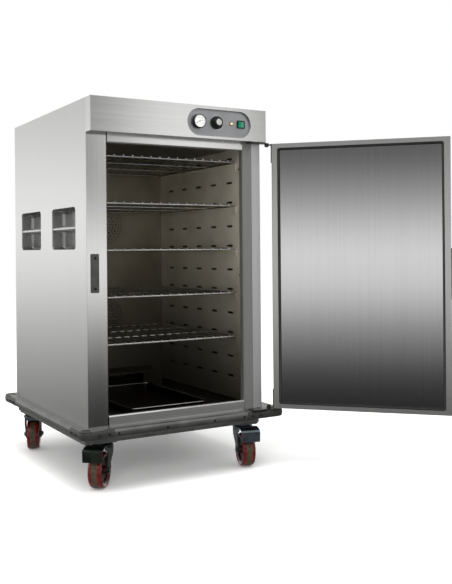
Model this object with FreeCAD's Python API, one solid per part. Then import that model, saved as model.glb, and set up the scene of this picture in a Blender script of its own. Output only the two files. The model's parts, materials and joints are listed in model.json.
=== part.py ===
import FreeCAD, Part
import math
import os

# Heated food carrier: an insulated steel cupboard on four casters, with one door,
# five wire shelves, fan-blown side ducts and a water pan on its floor.
# Working frame: X to the right from the left side, Y back from the front frame's face,
# Z up from the floor.  Everything is moved at the end so that the origin is the middle
# of the underside of the whole object's box with the door standing open.

V = FreeCAD.Vector
UP = V(0, 0, 1)
AHEAD = V(0, -1, 0)

# ---------------------------------------------------------------- driving dimensions, mm
WIDTH = 690.0            # outside width of the cabinet
DEPTH = 800.0            # front frame's face to the rear panel
TOP = 1330.0             # height of the top panel
SKIN = 1.2               # outer sheet thickness
LINING = 1.0             # inner sheet thickness
BODY_BOTTOM = 186.0      # underside of the cabinet on its base frame
OPEN_LEFT = 76.0         # the loading opening, left to right
OPEN_RIGHT = WIDTH - OPEN_LEFT
OPEN_BOTTOM = 259.0
OPEN_TOP = 1183.0
FRAME_DEPTH = 25.0       # how far the front frame's folds reach back
BEVEL = 4.0              # small sloped fold round the opening
POST_SEAM = 652.0        # where the right-hand stile meets the hinge post
HEADER_BOTTOM = 1214.0
HEADER_OUT = 44.0        # the control header stands this far in front of the frame
WALL = 52.0              # side wall: skin, insulation and liner
LINER_BACK = 752.0
LINER_FLOOR = 224.0
LINER_CEILING = 1195.0
DUCT_X = 70.0            # cavity face of the left duct panel is at DUCT_X + LINING
BAFFLE_Y = 678.0
DUCT_END = 640.0         # where the duct panels turn in towards the baffle
TURN_IN = 7.0            # how far they turn in

DOOR_ANGLE = 133.3       # how far the door stands open at rest, degrees
DOOR_LEFT = 45.0         # closed door, in the working frame
DOOR_RIGHT = WIDTH
DOOR_BOTTOM = 226.0
DOOR_TOP = 1210.0
DOOR_BACK = -2.0         # inner border of the closed door, just clear of the frame
DOOR_THICK = 42.0
DOOR_RECESS = 12.0       # inner panel lies this far below the border
DOOR_FRONT = DOOR_BACK - DOOR_THICK
PANEL_Y = DOOR_BACK - DOOR_RECESS
LATCH_LOW = 636.0
LATCH_HIGH = 816.0
LATCH_AXIS = V(DOOR_LEFT + 36, DOOR_FRONT - 28, 0)
BORDER_SIDE = 22.0
BORDER_END = 16.0
GASKET_WIDE = 5.0
GASKET_CREST = -0.6
PIVOT = V(711.0, -17.0, 0)
PIN_RADIUS = 5.0
PIN_LONG = 10.0          # how far a hinge pin reaches into the door's height
EYE_RADIUS = 8.0         # eye of a door leaf, round the pin
EYE_LONG = 8.0
BRACKET_THICK = 3.4
RUNNING_GAP = 0.05

SHELF_LEVELS = [493.0 + 162.5 * level for level in range(5)]
SHELF_WIDE = 530.0
SHELF_LONG = 634.0
SHELF_FRONT = 38.0
ROD = 3.5                # radius of a shelf's outer rods
WIRE = 2.0               # radius of a shelf's thin wires
WIRE_PITCH = 35.0

POCKET_FRONTS = [102.0, 471.0]   # front end of each hand pocket along the side
POCKET_LONG = 241.0
POCKET_BOTTOM = 822.0
POCKET_HIGH = 148.0
POCKET_CORNER = 15.0
POCKET_DEEP = 50.0
HANDLE_RADIUS = 9.0
HANDLE_IN = 10.5         # handle's centre line, measured in from the outer skin

FAN_X = WIDTH / 2
FAN_LEVELS = {"upper": 928.0, "lower": 534.0}
GRILLE_RADII = [14.0, 27.0, 40.0, 53.0, 66.0, 79.0]

BUMPER_LOW = 189.0       # buffer round the base: its height and how far each side stands out
BUMPER_HIGH = 222.0
BUMPER_LEFT = 34.0
BUMPER_FRONT = 34.0
BUMPER_BACK = 73.0
BUMPER_HINGE = 82.0      # the hinge side is guarded furthest out
BUMPER_WALL = 3.0
BUMPER_CROWN = 13.0      # rounding of the buffer profile's outer edges
BUMPER_ROUND = 28.0      # rounding of a corner block, seen from above
BUMPER_PROUD = 3.0       # how far a corner block stands out past its rails
BASE_TUBE = 40.0         # width of the base frame's tubes
BASE_FRONT = 45.0        # the frame is set back under the buffer
BASE_RIGHT = 706.0       # and reaches further on the hinge side

CONTROL_Z = 1271.0       # middle of the recessed control dish
DISH_X = 493.0
DISH_LONG = 262.0
DISH_HIGH = 95.0
DISH_DEEP = 7.0
ROW_Z = 1273.0           # the controls' common height
GAUGE_X = 409.0
GAUGE_RADIUS = 25.0
GAUGE_OUT = 15.0
KNOB_X = 483.0
KNOB_RADIUS = 24.0
LAMP_X = 545.0
SWITCH_X = 585.0
FACE = DISH_DEEP - HEADER_OUT    # floor of the control dish
NEEDLE_REST = 120.0      # degrees from straight up
ROCKER_REST = 8.0        # degrees to one side of the middle
INLET_X = 600.0          # mains inlet on the back
INLET_Z = 300.0

WHEEL_RADIUS = 62.5
WHEEL_WIDE = 50.0
WHEEL_RIM = 46.0         # radius of the core under the tread
AXLE_RADIUS = 6.0
CASTER_HIGH = 160.0
TRAIL = 33.0
FORK_INSIDE = 28.5       # from the wheel's middle to a fork leg
FORK_THICK = 3.5
PEDAL_PIVOT = V(2, 0, 130)
PEDAL_PIN = 3.5
# name: swivel axis X, Y, heading of the trail in degrees from -Y towards -X, brake pedal
CASTERS = {
    "front_left": (91.0, 101.0, 40.0, True),
    "front_right": (660.0, 87.0, 16.0, True),
    "rear_left": (45.0, 728.0, 202.0, False),
    "rear_right": (650.0, 728.0, 209.0, False),
}

nodes = {}


# ---------------------------------------------------------------- small tools
def block(x0, x1, y0, y1, z0, z1):
    return Part.makeBox(x1 - x0, y1 - y0, z1 - z0, V(x0, y0, z0))


def disc(radius, length, start, direction=UP):
    return Part.makeCylinder(radius, length, start, direction)


def rod(start, end, radius):
    return disc(radius, (end - start).Length, start, end - start)


def fuse(shapes):
    return shapes[0].multiFuse(shapes[1:]).removeSplitter()


def rounded(shape, radius, direction):
    """Round the edges of a block that run along one direction."""
    edges = [e for e in shape.Edges if abs(abs(e.tangentAt(e.FirstParameter) * direction) - 1) < 1e-6]
    return shape.makeFillet(radius, edges)


def outline(points):
    """Closed wire in the drawing plane from (u, v) pairs."""
    corners = [V(u, v, 0) for u, v in points]
    return Part.makePolygon(corners + corners[:1])


def rectangle(u0, u1, v0, v1):
    return outline([(u0, v0), (u1, v0), (u1, v1), (u0, v1)])


def round_rectangle(u0, u1, v0, v1, radius):
    """Rectangle with round corners, in the drawing plane."""
    edges = []
    middles = [(u1 - radius, v0 + radius, -90), (u1 - radius, v1 - radius, 0),
               (u0 + radius, v1 - radius, 90), (u0 + radius, v0 + radius, 180)]
    for u, v, turn in middles:
        edges.append(Part.makeCircle(radius, V(u, v, 0), UP, turn, turn + 90))
    closed = []
    for here, after in zip(edges, edges[1:] + edges[:1]):
        closed.append(here)
        start = here.Vertexes[-1].Point
        end = after.Vertexes[0].Point
        if (end - start).Length > 1e-6:
            closed.append(Part.makeLine(start, end))
    return Part.Wire(closed)


def circle(u, v, radius):
    return Part.Wire(Part.makeCircle(radius, V(u, v, 0)))


def sheet(outer, holes, thick):
    """Flat plate in the drawing plane with holes cut through it."""
    face = Part.makeFace([outer] + holes, "Part::FaceMakerBullseye")
    return face.extrude(V(0, 0, thick))


def facing_side(shape, x):
    """Stand a drawing up as a side wall: u is Y, v is Z and thickness goes to +X from x."""
    turn = FreeCAD.Matrix(0, 0, 1, x, 1, 0, 0, 0, 0, 1, 0, 0, 0, 0, 0, 1)
    return moved(shape, turn)


def facing_front(shape, y):
    """Stand a drawing up as a front wall: u is X, v is Z and thickness goes to -Y from y."""
    turn = FreeCAD.Matrix(1, 0, 0, 0, 0, 0, -1, y, 0, 1, 0, 0, 0, 0, 0, 1)
    return moved(shape, turn)


def moved(shape, matrix):
    copy = shape.copy()
    copy.Placement = FreeCAD.Placement(matrix).multiply(copy.Placement)
    return copy


def mirrored(shape):
    """The same piece on the other side of the cabinet."""
    return shape.mirror(V(WIDTH / 2, 0, 0), V(1, 0, 0))


def group(shapes):
    return Part.makeCompound(shapes)


# ---------------------------------------------------------------- base and buffer
def base_frame():
    """Welded frame of low box tube, a deck on it and a plate under each corner."""
    plate_top = CASTER_HIGH + 4.0
    deck = BODY_BOTTOM - 1.5
    back = DEPTH - 5
    parts = [block(5, 5 + BASE_TUBE, BASE_FRONT, back, CASTER_HIGH, deck),
             block(BASE_RIGHT - BASE_TUBE, BASE_RIGHT, BASE_FRONT, back, CASTER_HIGH, deck)]
    for y in (BASE_FRONT, 160, 600, back - BASE_TUBE):
        parts.append(block(5, BASE_RIGHT, y, y + BASE_TUBE, CASTER_HIGH, deck))
    for x0, x1 in ((5, 140), (BASE_RIGHT - 140, BASE_RIGHT)):
        for y0, y1 in ((BASE_FRONT, 160), (640, back)):
            parts.append(block(x0, x1, y0, y1, CASTER_HIGH, plate_top))
    parts.append(block(0, WIDTH, 0, DEPTH, deck, BODY_BOTTOM))
    return fuse(parts)


def buffer_section(reach):
    """Hollow buffer profile, drawn as (distance out from the cabinet, height)."""
    high = BUMPER_HIGH - BUMPER_LOW
    room = reach - BUMPER_WALL
    outer = block(0, reach, 0, 1, 0, high)
    edges = [e for e in outer.Edges if abs(e.BoundBox.XMin - reach) < 1e-6 and e.BoundBox.YLength > 0.5]
    outer = outer.makeFillet(BUMPER_CROWN, edges)
    inner = block(-1, room, 0, 1, BUMPER_WALL, high - BUMPER_WALL)
    edges = [e for e in inner.Edges if abs(e.BoundBox.XMin - room) < 1e-6 and e.BoundBox.YLength > 0.5]
    return outer.cut(inner.makeFillet(BUMPER_CROWN - BUMPER_WALL, edges))


def buffer_rail(reach, start, direction, length):
    """One straight of the buffer: the section runs along direction from start."""
    section = buffer_section(reach)
    face = [f for f in section.Faces if abs(f.CenterOfMass.y) < 1e-6][0]
    rail = face.extrude(V(0, length, 0))
    outward = direction.cross(UP)
    turn = FreeCAD.Matrix(outward.x, direction.x, 0, start.x, outward.y, direction.y, 0, start.y,
                          0, 0, 1, BUMPER_LOW, 0, 0, 0, 1)
    return moved(rail, turn)


def bumper_rails():
    front = buffer_rail(BUMPER_FRONT, V(0, 0, 0), V(1, 0, 0), WIDTH)
    back = buffer_rail(BUMPER_BACK, V(WIDTH, DEPTH, 0), V(-1, 0, 0), WIDTH)
    right = buffer_rail(BUMPER_HINGE, V(WIDTH, 0, 0), V(0, 1, 0), DEPTH)
    left = buffer_rail(BUMPER_LEFT, V(0, DEPTH, 0), V(0, -1, 0), DEPTH)
    return group([front, back, right, left])


def bumper_corner(x, y, reach_x, reach_y):
    """Cast corner block with a round nose, a little proud of the rails that meet it."""
    reach_x += math.copysign(BUMPER_PROUD, reach_x)
    reach_y += math.copysign(BUMPER_PROUD, reach_y)
    x0, x1 = sorted((x, x + reach_x))
    y0, y1 = sorted((y, y + reach_y))
    body = block(x0, x1, y0, y1, BUMPER_LOW, BUMPER_HIGH - 1)
    edges = [e for e in body.Edges if e.BoundBox.ZLength > 1
             and abs(e.BoundBox.XMin - x - reach_x) < 1e-6 and abs(e.BoundBox.YMin - y - reach_y) < 1e-6]
    body = body.makeFillet(BUMPER_ROUND, edges)
    rim = [e for e in body.Edges
           if e.BoundBox.ZLength < 1e-6 and abs(e.BoundBox.ZMin - BUMPER_HIGH + 1) < 1e-6
           and e.BoundBox.XLength > 1 and e.BoundBox.YLength > 1]
    return body.makeFillet(4.0, rim)


def bumper_corners():
    return group([bumper_corner(0, 0, -BUMPER_LEFT, -BUMPER_FRONT),
                  bumper_corner(WIDTH, 0, BUMPER_HINGE, -BUMPER_FRONT),
                  bumper_corner(0, DEPTH, -BUMPER_LEFT, BUMPER_BACK),
                  bumper_corner(WIDTH, DEPTH, BUMPER_HINGE, BUMPER_BACK)])


# ---------------------------------------------------------------- outer shell
def pocket_outline(front, grow=0.0):
    return round_rectangle(front - grow, front + POCKET_LONG + grow, POCKET_BOTTOM - grow,
                           POCKET_BOTTOM + POCKET_HIGH + grow, POCKET_CORNER + grow)


def left_side_panel():
    outer = rectangle(0, DEPTH, BODY_BOTTOM, TOP)
    return facing_side(sheet(outer, [pocket_outline(front) for front in POCKET_FRONTS], SKIN), 0)


def rear_panel():
    """Back skin with two louvre groups for the fan motors and the hole of the mains inlet."""
    outer = rectangle(SKIN, WIDTH - SKIN, BODY_BOTTOM, TOP)
    holes = [rectangle(INLET_X - 24, INLET_X + 24, INLET_Z - 16, INLET_Z + 16)]
    for level in FAN_LEVELS.values():
        for row in range(5):
            v = level - 40 + 20 * row
            holes.append(round_rectangle(FAN_X - 60, FAN_X + 60, v - 3, v + 3, 2.9))
    return facing_front(sheet(outer, holes, SKIN), DEPTH)


def top_panel():
    """Flat lid between the fascia and the rear panel."""
    return block(SKIN, WIDTH - SKIN, SKIN - HEADER_OUT, DEPTH - SKIN, TOP - SKIN, TOP)


def dish_outline(inset):
    """Long outline with round ends of the control dish, as (X, Z)."""
    half_long, half_high = DISH_LONG / 2 - inset, DISH_HIGH / 2 - inset
    return round_rectangle(DISH_X - half_long, DISH_X + half_long, CONTROL_Z - half_high,
                           CONTROL_Z + half_high, half_high - 0.05)


def header_fascia():
    """Folded control header with the dish's cut-out, open at the back and the top."""
    shell = block(0, WIDTH, -HEADER_OUT, 0, HEADER_BOTTOM, TOP)
    room = block(SKIN, WIDTH - SKIN, SKIN - HEADER_OUT, 1, HEADER_BOTTOM + SKIN, TOP + 1)
    shell = shell.cut(room)
    return shell.cut(facing_front(sheet(dish_outline(0.0), [], 4), 2 - HEADER_OUT))


def post_outline(outside, opening):
    """Plan of a folded upright: an outside return, the face and a sloped fold at the opening."""
    flip = 1 if opening > outside else -1
    return outline([(outside, FRAME_DEPTH), (outside, 0), (opening - flip * BEVEL, 0),
                    (opening, BEVEL), (opening, FRAME_DEPTH), (opening - flip * SKIN, FRAME_DEPTH),
                    (opening - flip * SKIN, BEVEL + 0.5), (opening - flip * (BEVEL + 0.5), SKIN),
                    (outside + flip * SKIN, SKIN), (outside + flip * SKIN, FRAME_DEPTH)])


def upright(plan):
    post = Part.Face(plan).extrude(V(0, 0, HEADER_BOTTOM - BODY_BOTTOM))
    return post.translate(V(0, 0, BODY_BOTTOM))


def hinge_post():
    """Plain folded channel outside the right-hand stile, which carries the hinges."""
    plan = outline([(POST_SEAM + 1, FRAME_DEPTH), (POST_SEAM + 1, 0), (WIDTH - SKIN, 0),
                    (WIDTH - SKIN, FRAME_DEPTH), (WIDTH - 2 * SKIN, FRAME_DEPTH),
                    (WIDTH - 2 * SKIN, SKIN), (POST_SEAM + 1 + SKIN, SKIN),
                    (POST_SEAM + 1 + SKIN, FRAME_DEPTH)])
    return upright(plan)


def crossing(face_end, opening):
    """Rail between the uprights, drawn as (Y, Z): face, sloped fold and a return."""
    flip = 1 if opening > face_end else -1
    profile = outline([(0, face_end), (0, opening - flip * BEVEL), (BEVEL, opening),
                       (FRAME_DEPTH, opening), (FRAME_DEPTH, opening - flip * SKIN),
                       (BEVEL + 0.5, opening - flip * SKIN), (SKIN, opening - flip * (BEVEL + 0.5)),
                       (SKIN, face_end)])
    return facing_side(Part.Face(profile).extrude(V(0, 0, OPEN_RIGHT - OPEN_LEFT)), OPEN_LEFT)


def cabinet_insulation():
    """Five slabs of board between the skins; the side slabs are cut out round the hand pockets."""
    back = DEPTH - SKIN
    side = block(SKIN, WALL, FRAME_DEPTH, back, BODY_BOTTOM, 1236)
    for front in POCKET_FRONTS:
        side = side.cut(block(0, WALL, front - 4, front + POCKET_LONG + 4,
                              POCKET_BOTTOM - 4, POCKET_BOTTOM + POCKET_HIGH + 4))
    inlet = block(INLET_X - 30, INLET_X + 30, back - 40, back + 1, INLET_Z - 22, INLET_Z + 22)
    rear = block(WALL, WIDTH - WALL, LINER_BACK + LINING, back, BODY_BOTTOM, 1236).cut(inlet)
    for level in FAN_LEVELS.values():
        rear = rear.cut(disc(44, 60, V(FAN_X, LINER_BACK, level), V(0, 1, 0)))
    floor = block(WALL, WIDTH - WALL, FRAME_DEPTH, LINER_BACK + LINING, BODY_BOTTOM, LINER_FLOOR - LINING)
    ceiling = block(WALL, WIDTH - WALL, FRAME_DEPTH, LINER_BACK + LINING, LINER_CEILING + LINING, 1236)
    return group([side, mirrored(side), rear, floor, ceiling])


# ---------------------------------------------------------------- inside of the cavity
def inner_liner():
    """Liner sheets: two walls, floor, ceiling and back, as separate sheets that meet."""
    wall = block(WALL, WALL + LINING, FRAME_DEPTH, LINER_BACK, LINER_FLOOR, LINER_CEILING)
    x0, x1 = WALL + LINING, WIDTH - WALL - LINING
    floor = block(WALL, WIDTH - WALL, FRAME_DEPTH, LINER_BACK, LINER_FLOOR - LINING, LINER_FLOOR)
    ceiling = block(WALL, WIDTH - WALL, FRAME_DEPTH, LINER_BACK, LINER_CEILING, LINER_CEILING + LINING)
    back = sheet(rectangle(WALL, WIDTH - WALL, LINER_FLOOR - LINING, LINER_CEILING + LINING),
                 [circle(FAN_X, level, 6) for level in FAN_LEVELS.values()], LINING)
    lip = block(x0, x1, FRAME_DEPTH, FRAME_DEPTH + LINING, LINER_FLOOR, OPEN_BOTTOM - SKIN)
    return group([wall, mirrored(wall), fuse([floor, lip]), ceiling,
                  facing_front(back, LINER_BACK + LINING)])


def duct_panel():
    """Slotted sheet in front of the liner wall; its rear edge turns in to the baffle."""
    holes = []
    for row in range(11):
        v = 1161.0 - 164.5 * (row // 2) - 90.0 * (row % 2)
        for column in range(5):
            u = 104.0 + 121.5 * column
            holes.append(round_rectangle(u - 21, u + 21, v - 4, v + 4, 3.9))
    low, high = 254.0, LINER_CEILING - 0.5
    flat = facing_side(sheet(rectangle(FRAME_DEPTH + 1.5, DUCT_END, low, high), holes, LINING), DUCT_X)
    turn_in = outline([(DUCT_X, DUCT_END), (DUCT_X + TURN_IN, BAFFLE_Y - 0.5),
                       (DUCT_X + TURN_IN + LINING, BAFFLE_Y - 0.5), (DUCT_X + LINING, DUCT_END)])
    corner = Part.Face(turn_in).extrude(V(0, 0, high - low)).translate(V(0, 0, low))
    return fuse([flat, corner])


def rear_baffle():
    """Sheet in front of the fans: two pierced grilles, an air intake and a hood over it."""
    holes = [round_rectangle(FAN_X - 175, FAN_X + 175, 246, 286, 5)]
    for level in FAN_LEVELS.values():
        holes.append(circle(FAN_X, level, 3.5))
        for radius in GRILLE_RADII:
            count = int(2 * math.pi * radius / 13.5)
            for hole in range(count):
                turn = 2 * math.pi * hole / count
                holes.append(circle(FAN_X + radius * math.cos(turn), level + radius * math.sin(turn), 3.6))
    edge = DUCT_X + TURN_IN + 1.5
    plate = sheet(rectangle(edge, WIDTH - edge, LINER_FLOOR, LINER_CEILING - 0.5), holes, LINING)
    hood = Part.Face(outline([(BAFFLE_Y, 316), (BAFFLE_Y - 28, 298), (BAFFLE_Y - 28, 290),
                              (BAFFLE_Y - 26.8, 290), (BAFFLE_Y - 26.8, 297), (BAFFLE_Y, 314.5)]))
    hood = facing_side(hood.extrude(V(0, 0, 420)), FAN_X - 210)
    return fuse([facing_front(plate, BAFFLE_Y + LINING), hood])


def fan_motor(level):
    can = disc(36, 30, V(FAN_X, LINER_BACK + LINING + 4, level), V(0, 1, 0))
    flange = disc(42, 4, V(FAN_X, LINER_BACK + LINING, level), V(0, 1, 0))
    shaft = disc(4, 60, V(FAN_X, LINER_BACK + LINING - 56, level), V(0, 1, 0))
    return fuse([can, flange, shaft])


def fan_impeller(level):
    """Hub, back disc and a ring of forward blades round it."""
    front_y = BAFFLE_Y + 12
    disc_y = LINER_BACK - 12
    back = disc(72, 2, V(FAN_X, disc_y, level), V(0, 1, 0))
    hub = disc(12, disc_y - front_y - 8, V(FAN_X, front_y + 8, level), V(0, 1, 0))
    blades = []
    for number in range(16):
        blade = block(FAN_X + 46, FAN_X + 70, front_y, disc_y + 1, level - 1, level + 1)
        blade.rotate(V(FAN_X + 58, 0, level), V(0, 1, 0), 35)
        blade.rotate(V(FAN_X, 0, level), V(0, 1, 0), 22.5 * number)
        blades.append(blade)
    wheel = fuse([back, hub] + blades)
    return wheel.cut(disc(4 + RUNNING_GAP, 100, V(FAN_X, front_y - 5, level), V(0, 1, 0)))


def heating_element():
    """Sheathed element: one long hairpin lying behind the air intake."""
    radius = 4.0
    y = BAFFLE_Y + 40
    low, high = 262.0, 302.0
    left, right = FAN_X - 170, FAN_X + 190
    bend = (high - low) / 2
    path = Part.Wire([Part.makeLine(V(right, y, low), V(left, y, low)),
                      Part.Arc(V(left, y, low), V(left - bend, y, low + bend), V(left, y, high)).toShape(),
                      Part.makeLine(V(left, y, high), V(right, y, high))])
    start = Part.Wire(Part.makeCircle(radius, V(right, y, low), V(1, 0, 0)))
    tube = path.makePipeShell([start], True, False)
    feet = [block(x, x + 1.5, y - 8, LINER_BACK, low - 6, high + 6) for x in (left + 60, right - 60)]
    for number, foot in enumerate(feet):
        feet[number] = foot.cut(disc(radius + 0.3, 40, V(foot.BoundBox.XMin - 10, y, low), V(1, 0, 0))).cut(
            disc(radius + 0.3, 40, V(foot.BoundBox.XMin - 10, y, high), V(1, 0, 0)))
    return group([tube] + feet)


def shelf_runners():
    """Five pairs of folded angles; each has a ledge that the shelf's side rod runs on."""
    runners = []
    for level in SHELF_LEVELS:
        ledge = level - ROD - 0.3
        x0 = DUCT_X + LINING
        profile = outline([(x0, ledge - 22), (x0, ledge), (x0 + 14, ledge), (x0 + 14, ledge - 1.5),
                           (x0 + 1.5, ledge - 1.5), (x0 + 1.5, ledge - 22)])
        runner = facing_front(Part.Face(profile).extrude(V(0, 0, DUCT_END - 60)), DUCT_END - 5)
        runners += [runner, mirrored(runner)]
    return group(runners)


def wire_shelf(level):
    """Welded wire shelf: outer rods, thin wires front to back on top, two bars under them."""
    left = WIDTH / 2 - SHELF_WIDE / 2 + ROD
    right = WIDTH - left
    front = SHELF_FRONT + ROD
    back = SHELF_FRONT + SHELF_LONG - ROD
    top = level + ROD + WIRE - 0.8
    overlap = 0.6 * ROD
    bars = [rod(V(left - overlap, front, level), V(right + overlap, front, level), ROD),
            rod(V(left - overlap, back, level), V(right + overlap, back, level), ROD),
            rod(V(left, front, level), V(left, back, level), ROD),
            rod(V(right, front, level), V(right, back, level), ROD)]
    for share in (1 / 3, 2 / 3):
        y = front + share * (back - front)
        bars.append(rod(V(left, y, level + 0.4), V(right, y, level + 0.4), 3.0))
    wires = int((right - left) / WIRE_PITCH)
    first = WIDTH / 2 - WIRE_PITCH * (wires - 1) / 2
    for number in range(wires):
        x = first + WIRE_PITCH * number
        bars.append(rod(V(x, SHELF_FRONT - 3, top), V(x, back + 2, top), WIRE))
    return fuse(bars)


def water_pan():
    """Shallow pan with a turned-out rim, standing on the cavity floor."""
    x0, x1, y0, y1 = 206.0, 526.0, 112.0, 632.0
    low, high = LINER_FLOOR + 0.3, 249.0
    outer = rounded(block(x0 + 10, x1 - 10, y0 + 10, y1 - 10, low, high), 20, UP)
    inner = rounded(block(x0 + 11, x1 - 11, y0 + 11, y1 - 11, low + 1, high + 1), 19, UP)
    rim = rounded(block(x0, x1, y0, y1, high - 1.5, high), 26, UP)
    return fuse([outer, rim]).cut(inner)


# ---------------------------------------------------------------- hand pockets
def handle_pocket(front):
    """Pressed tray let into the side skin, a flange behind the skin and a floor 50 mm in."""
    shell = sheet(pocket_outline(front, LINING), [], POCKET_DEEP + LINING - SKIN)
    room = sheet(pocket_outline(front), [], POCKET_DEEP - SKIN)
    flange = sheet(pocket_outline(front, 3.5), [], LINING)
    return facing_side(fuse([shell, flange]).cut(room), SKIN)


def handle_bar(front):
    z = POCKET_BOTTOM + POCKET_HIGH / 2
    return rod(V(HANDLE_IN, front, z), V(HANDLE_IN, front + POCKET_LONG, z), HANDLE_RADIUS)


# ---------------------------------------------------------------- controls
def control_plate():
    """Dish pressed 7 mm into the fascia; its floor carries the four controls."""
    holes = [circle(GAUGE_X, ROW_Z, 22), circle(KNOB_X, ROW_Z, 5.5), circle(LAMP_X, ROW_Z, 5.2),
             rectangle(SWITCH_X - 13, SWITCH_X + 13, ROW_Z - 12, ROW_Z + 12)]
    floor = facing_front(sheet(dish_outline(0.1), holes, 1.2), FACE + 1.2)
    wall = facing_front(sheet(dish_outline(0.1), [dish_outline(1.3)], DISH_DEEP), FACE)
    return fuse([floor, wall])


def thermometer_case():
    """Can behind the dish and a deep bezel in front of it; the dial is the floor of its well."""
    bezel = disc(GAUGE_RADIUS, GAUGE_OUT, V(GAUGE_X, FACE, ROW_Z), AHEAD)
    can = disc(21.8, 24, V(GAUGE_X, FACE + 24, ROW_Z), AHEAD)
    well = disc(GAUGE_RADIUS - 1.8, 5, V(GAUGE_X, FACE - GAUGE_OUT + 4, ROW_Z), AHEAD)
    post = disc(1.4, 2.0, V(GAUGE_X, FACE - GAUGE_OUT + 4, ROW_Z), AHEAD)
    return fuse([fuse([bezel, can]).cut(well), post])


def thermometer_needle():
    """Pointer on the middle post, pointing down and left while the cabinet is cool."""
    y = FACE - GAUGE_OUT + 3.4
    boss = disc(2.8, 0.6, V(GAUGE_X, y, ROW_Z), AHEAD)
    arm = block(GAUGE_X - 0.9, GAUGE_X + 0.9, y - 0.6, y, ROW_Z - 6, ROW_Z + 17)
    bore = disc(1.4 + RUNNING_GAP, 9, V(GAUGE_X, y + 4, ROW_Z), AHEAD)
    needle = fuse([boss, arm]).cut(bore)
    needle.rotate(V(GAUGE_X, 0, ROW_Z), AHEAD, NEEDLE_REST)
    return needle


def thermometer_lens():
    return disc(GAUGE_RADIUS - 1.9, 1.0, V(GAUGE_X, FACE - GAUGE_OUT + 1.6, ROW_Z), AHEAD)


def thermostat_body():
    z = ROW_Z
    case = block(KNOB_X - 20, KNOB_X + 20, FACE + 1.4, FACE + 34, z - 18, z + 18)
    neck = disc(5.0, 3.2, V(KNOB_X, FACE + 1.6, z), AHEAD)
    shaft = disc(3.0, 20, V(KNOB_X, FACE + 2, z), AHEAD)
    return fuse([case, neck, shaft])


def thermostat_knob():
    """Round skirt, a tapered barrel and a stepped cap; bored for the thermostat's shaft."""
    skirt = disc(KNOB_RADIUS, 5, V(KNOB_X, FACE - 1.8, ROW_Z), AHEAD)
    barrel = Part.makeCone(20, 17.5, 12, V(KNOB_X, FACE - 6.8, ROW_Z), AHEAD)
    cap = disc(12, 2.5, V(KNOB_X, FACE - 18.8, ROW_Z), AHEAD)
    bore = disc(3.0 + RUNNING_GAP, 18.6, V(KNOB_X, FACE, ROW_Z), AHEAD)
    return fuse([skirt, barrel, cap]).cut(bore)


def pilot_lamp():
    bezel = disc(7.5, 2, V(LAMP_X, FACE, ROW_Z), AHEAD)
    ball = Part.makeSphere(6, V(LAMP_X, FACE - 1, ROW_Z))
    dome = ball.common(block(LAMP_X - 9, LAMP_X + 9, FACE - 9, FACE - 1, ROW_Z - 9, ROW_Z + 9))
    barrel = disc(5, 22, V(LAMP_X, FACE + 20, ROW_Z), AHEAD)
    return fuse([bezel, dome, barrel])


def switch_housing():
    """Frame on the dish and a box behind it, open at the front for the rocker."""
    x, z = SWITCH_X, ROW_Z
    frame = rounded(block(x - 16.5, x + 16.5, FACE - 3, FACE, z - 14.5, z + 14.5), 3.5, V(0, 1, 0))
    box = block(x - 12.8, x + 12.8, FACE, FACE + 22, z - 11.8, z + 11.8)
    room = block(x - 12, x + 12, FACE - 4, FACE + 10, z - 11, z + 11)
    return fuse([frame, box]).cut(room)


def switch_rocker():
    """Rocker with two sloped faces; it tips about an upright axis behind its middle."""
    x, y = SWITCH_X, FACE
    plan = outline([(x - 11, y + 1.5), (x - 11, y - 4.6), (x, y - 2.4), (x + 11, y - 4.6),
                    (x + 11, y + 1.5), (x, y + 5)])
    rocker = Part.Face(plan).extrude(V(0, 0, 21)).translate(V(0, 0, ROW_Z - 10.5))
    rocker.rotate(V(x, y + 2, 0), UP, ROCKER_REST)
    return rocker


def power_inlet():
    """Three-pin mains inlet in a square flange on the rear panel."""
    flange = rounded(block(INLET_X - 30, INLET_X + 30, DEPTH, DEPTH + 4, INLET_Z - 22, INLET_Z + 22), 5,
                     V(0, 1, 0))
    shell = block(INLET_X - 23, INLET_X + 23, DEPTH - 32, DEPTH + 4, INLET_Z - 15, INLET_Z + 15)
    socket = rounded(block(INLET_X - 13, INLET_X + 13, DEPTH - 14, DEPTH + 5, INLET_Z - 9, INLET_Z + 9), 4,
                     V(0, 1, 0))
    pins = [block(INLET_X + dx - 1, INLET_X + dx + 1, DEPTH - 15, DEPTH - 1, INLET_Z - 3, INLET_Z + 3)
            for dx in (-7, 0, 7)]
    return fuse([fuse([flange, shell]).cut(socket)] + pins)


# ---------------------------------------------------------------- door, drawn closed
def door_block(inset_side, inset_end, y0, y1):
    return block(DOOR_LEFT + inset_side, DOOR_RIGHT - inset_side, y0, y1,
                 DOOR_BOTTOM + inset_end, DOOR_TOP - inset_end)


def door_outer_skin():
    """Folded tray: face, four edges and a border that turns in and steps down to the panel."""
    body = rounded(door_block(0, 0, DOOR_FRONT, DOOR_BACK), 4, UP)
    room = door_block(SKIN, SKIN, DOOR_FRONT + SKIN, DOOR_BACK - SKIN)
    mouth = rounded(door_block(BORDER_SIDE, BORDER_END, PANEL_Y - 4, DOOR_BACK + 1), 8, V(0, 1, 0))
    step = rounded(door_block(BORDER_SIDE - SKIN, BORDER_END - SKIN, PANEL_Y, DOOR_BACK - SKIN / 2), 9,
                   V(0, 1, 0))
    return fuse([body.cut(room), step]).cut(mouth)


def door_inner_panel():
    return rounded(door_block(BORDER_SIDE - SKIN, BORDER_END - SKIN, PANEL_Y - LINING, PANEL_Y), 9,
                   V(0, 1, 0))


def door_insulation():
    return door_block(SKIN, SKIN, DOOR_FRONT + SKIN, PANEL_Y - LINING)


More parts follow.
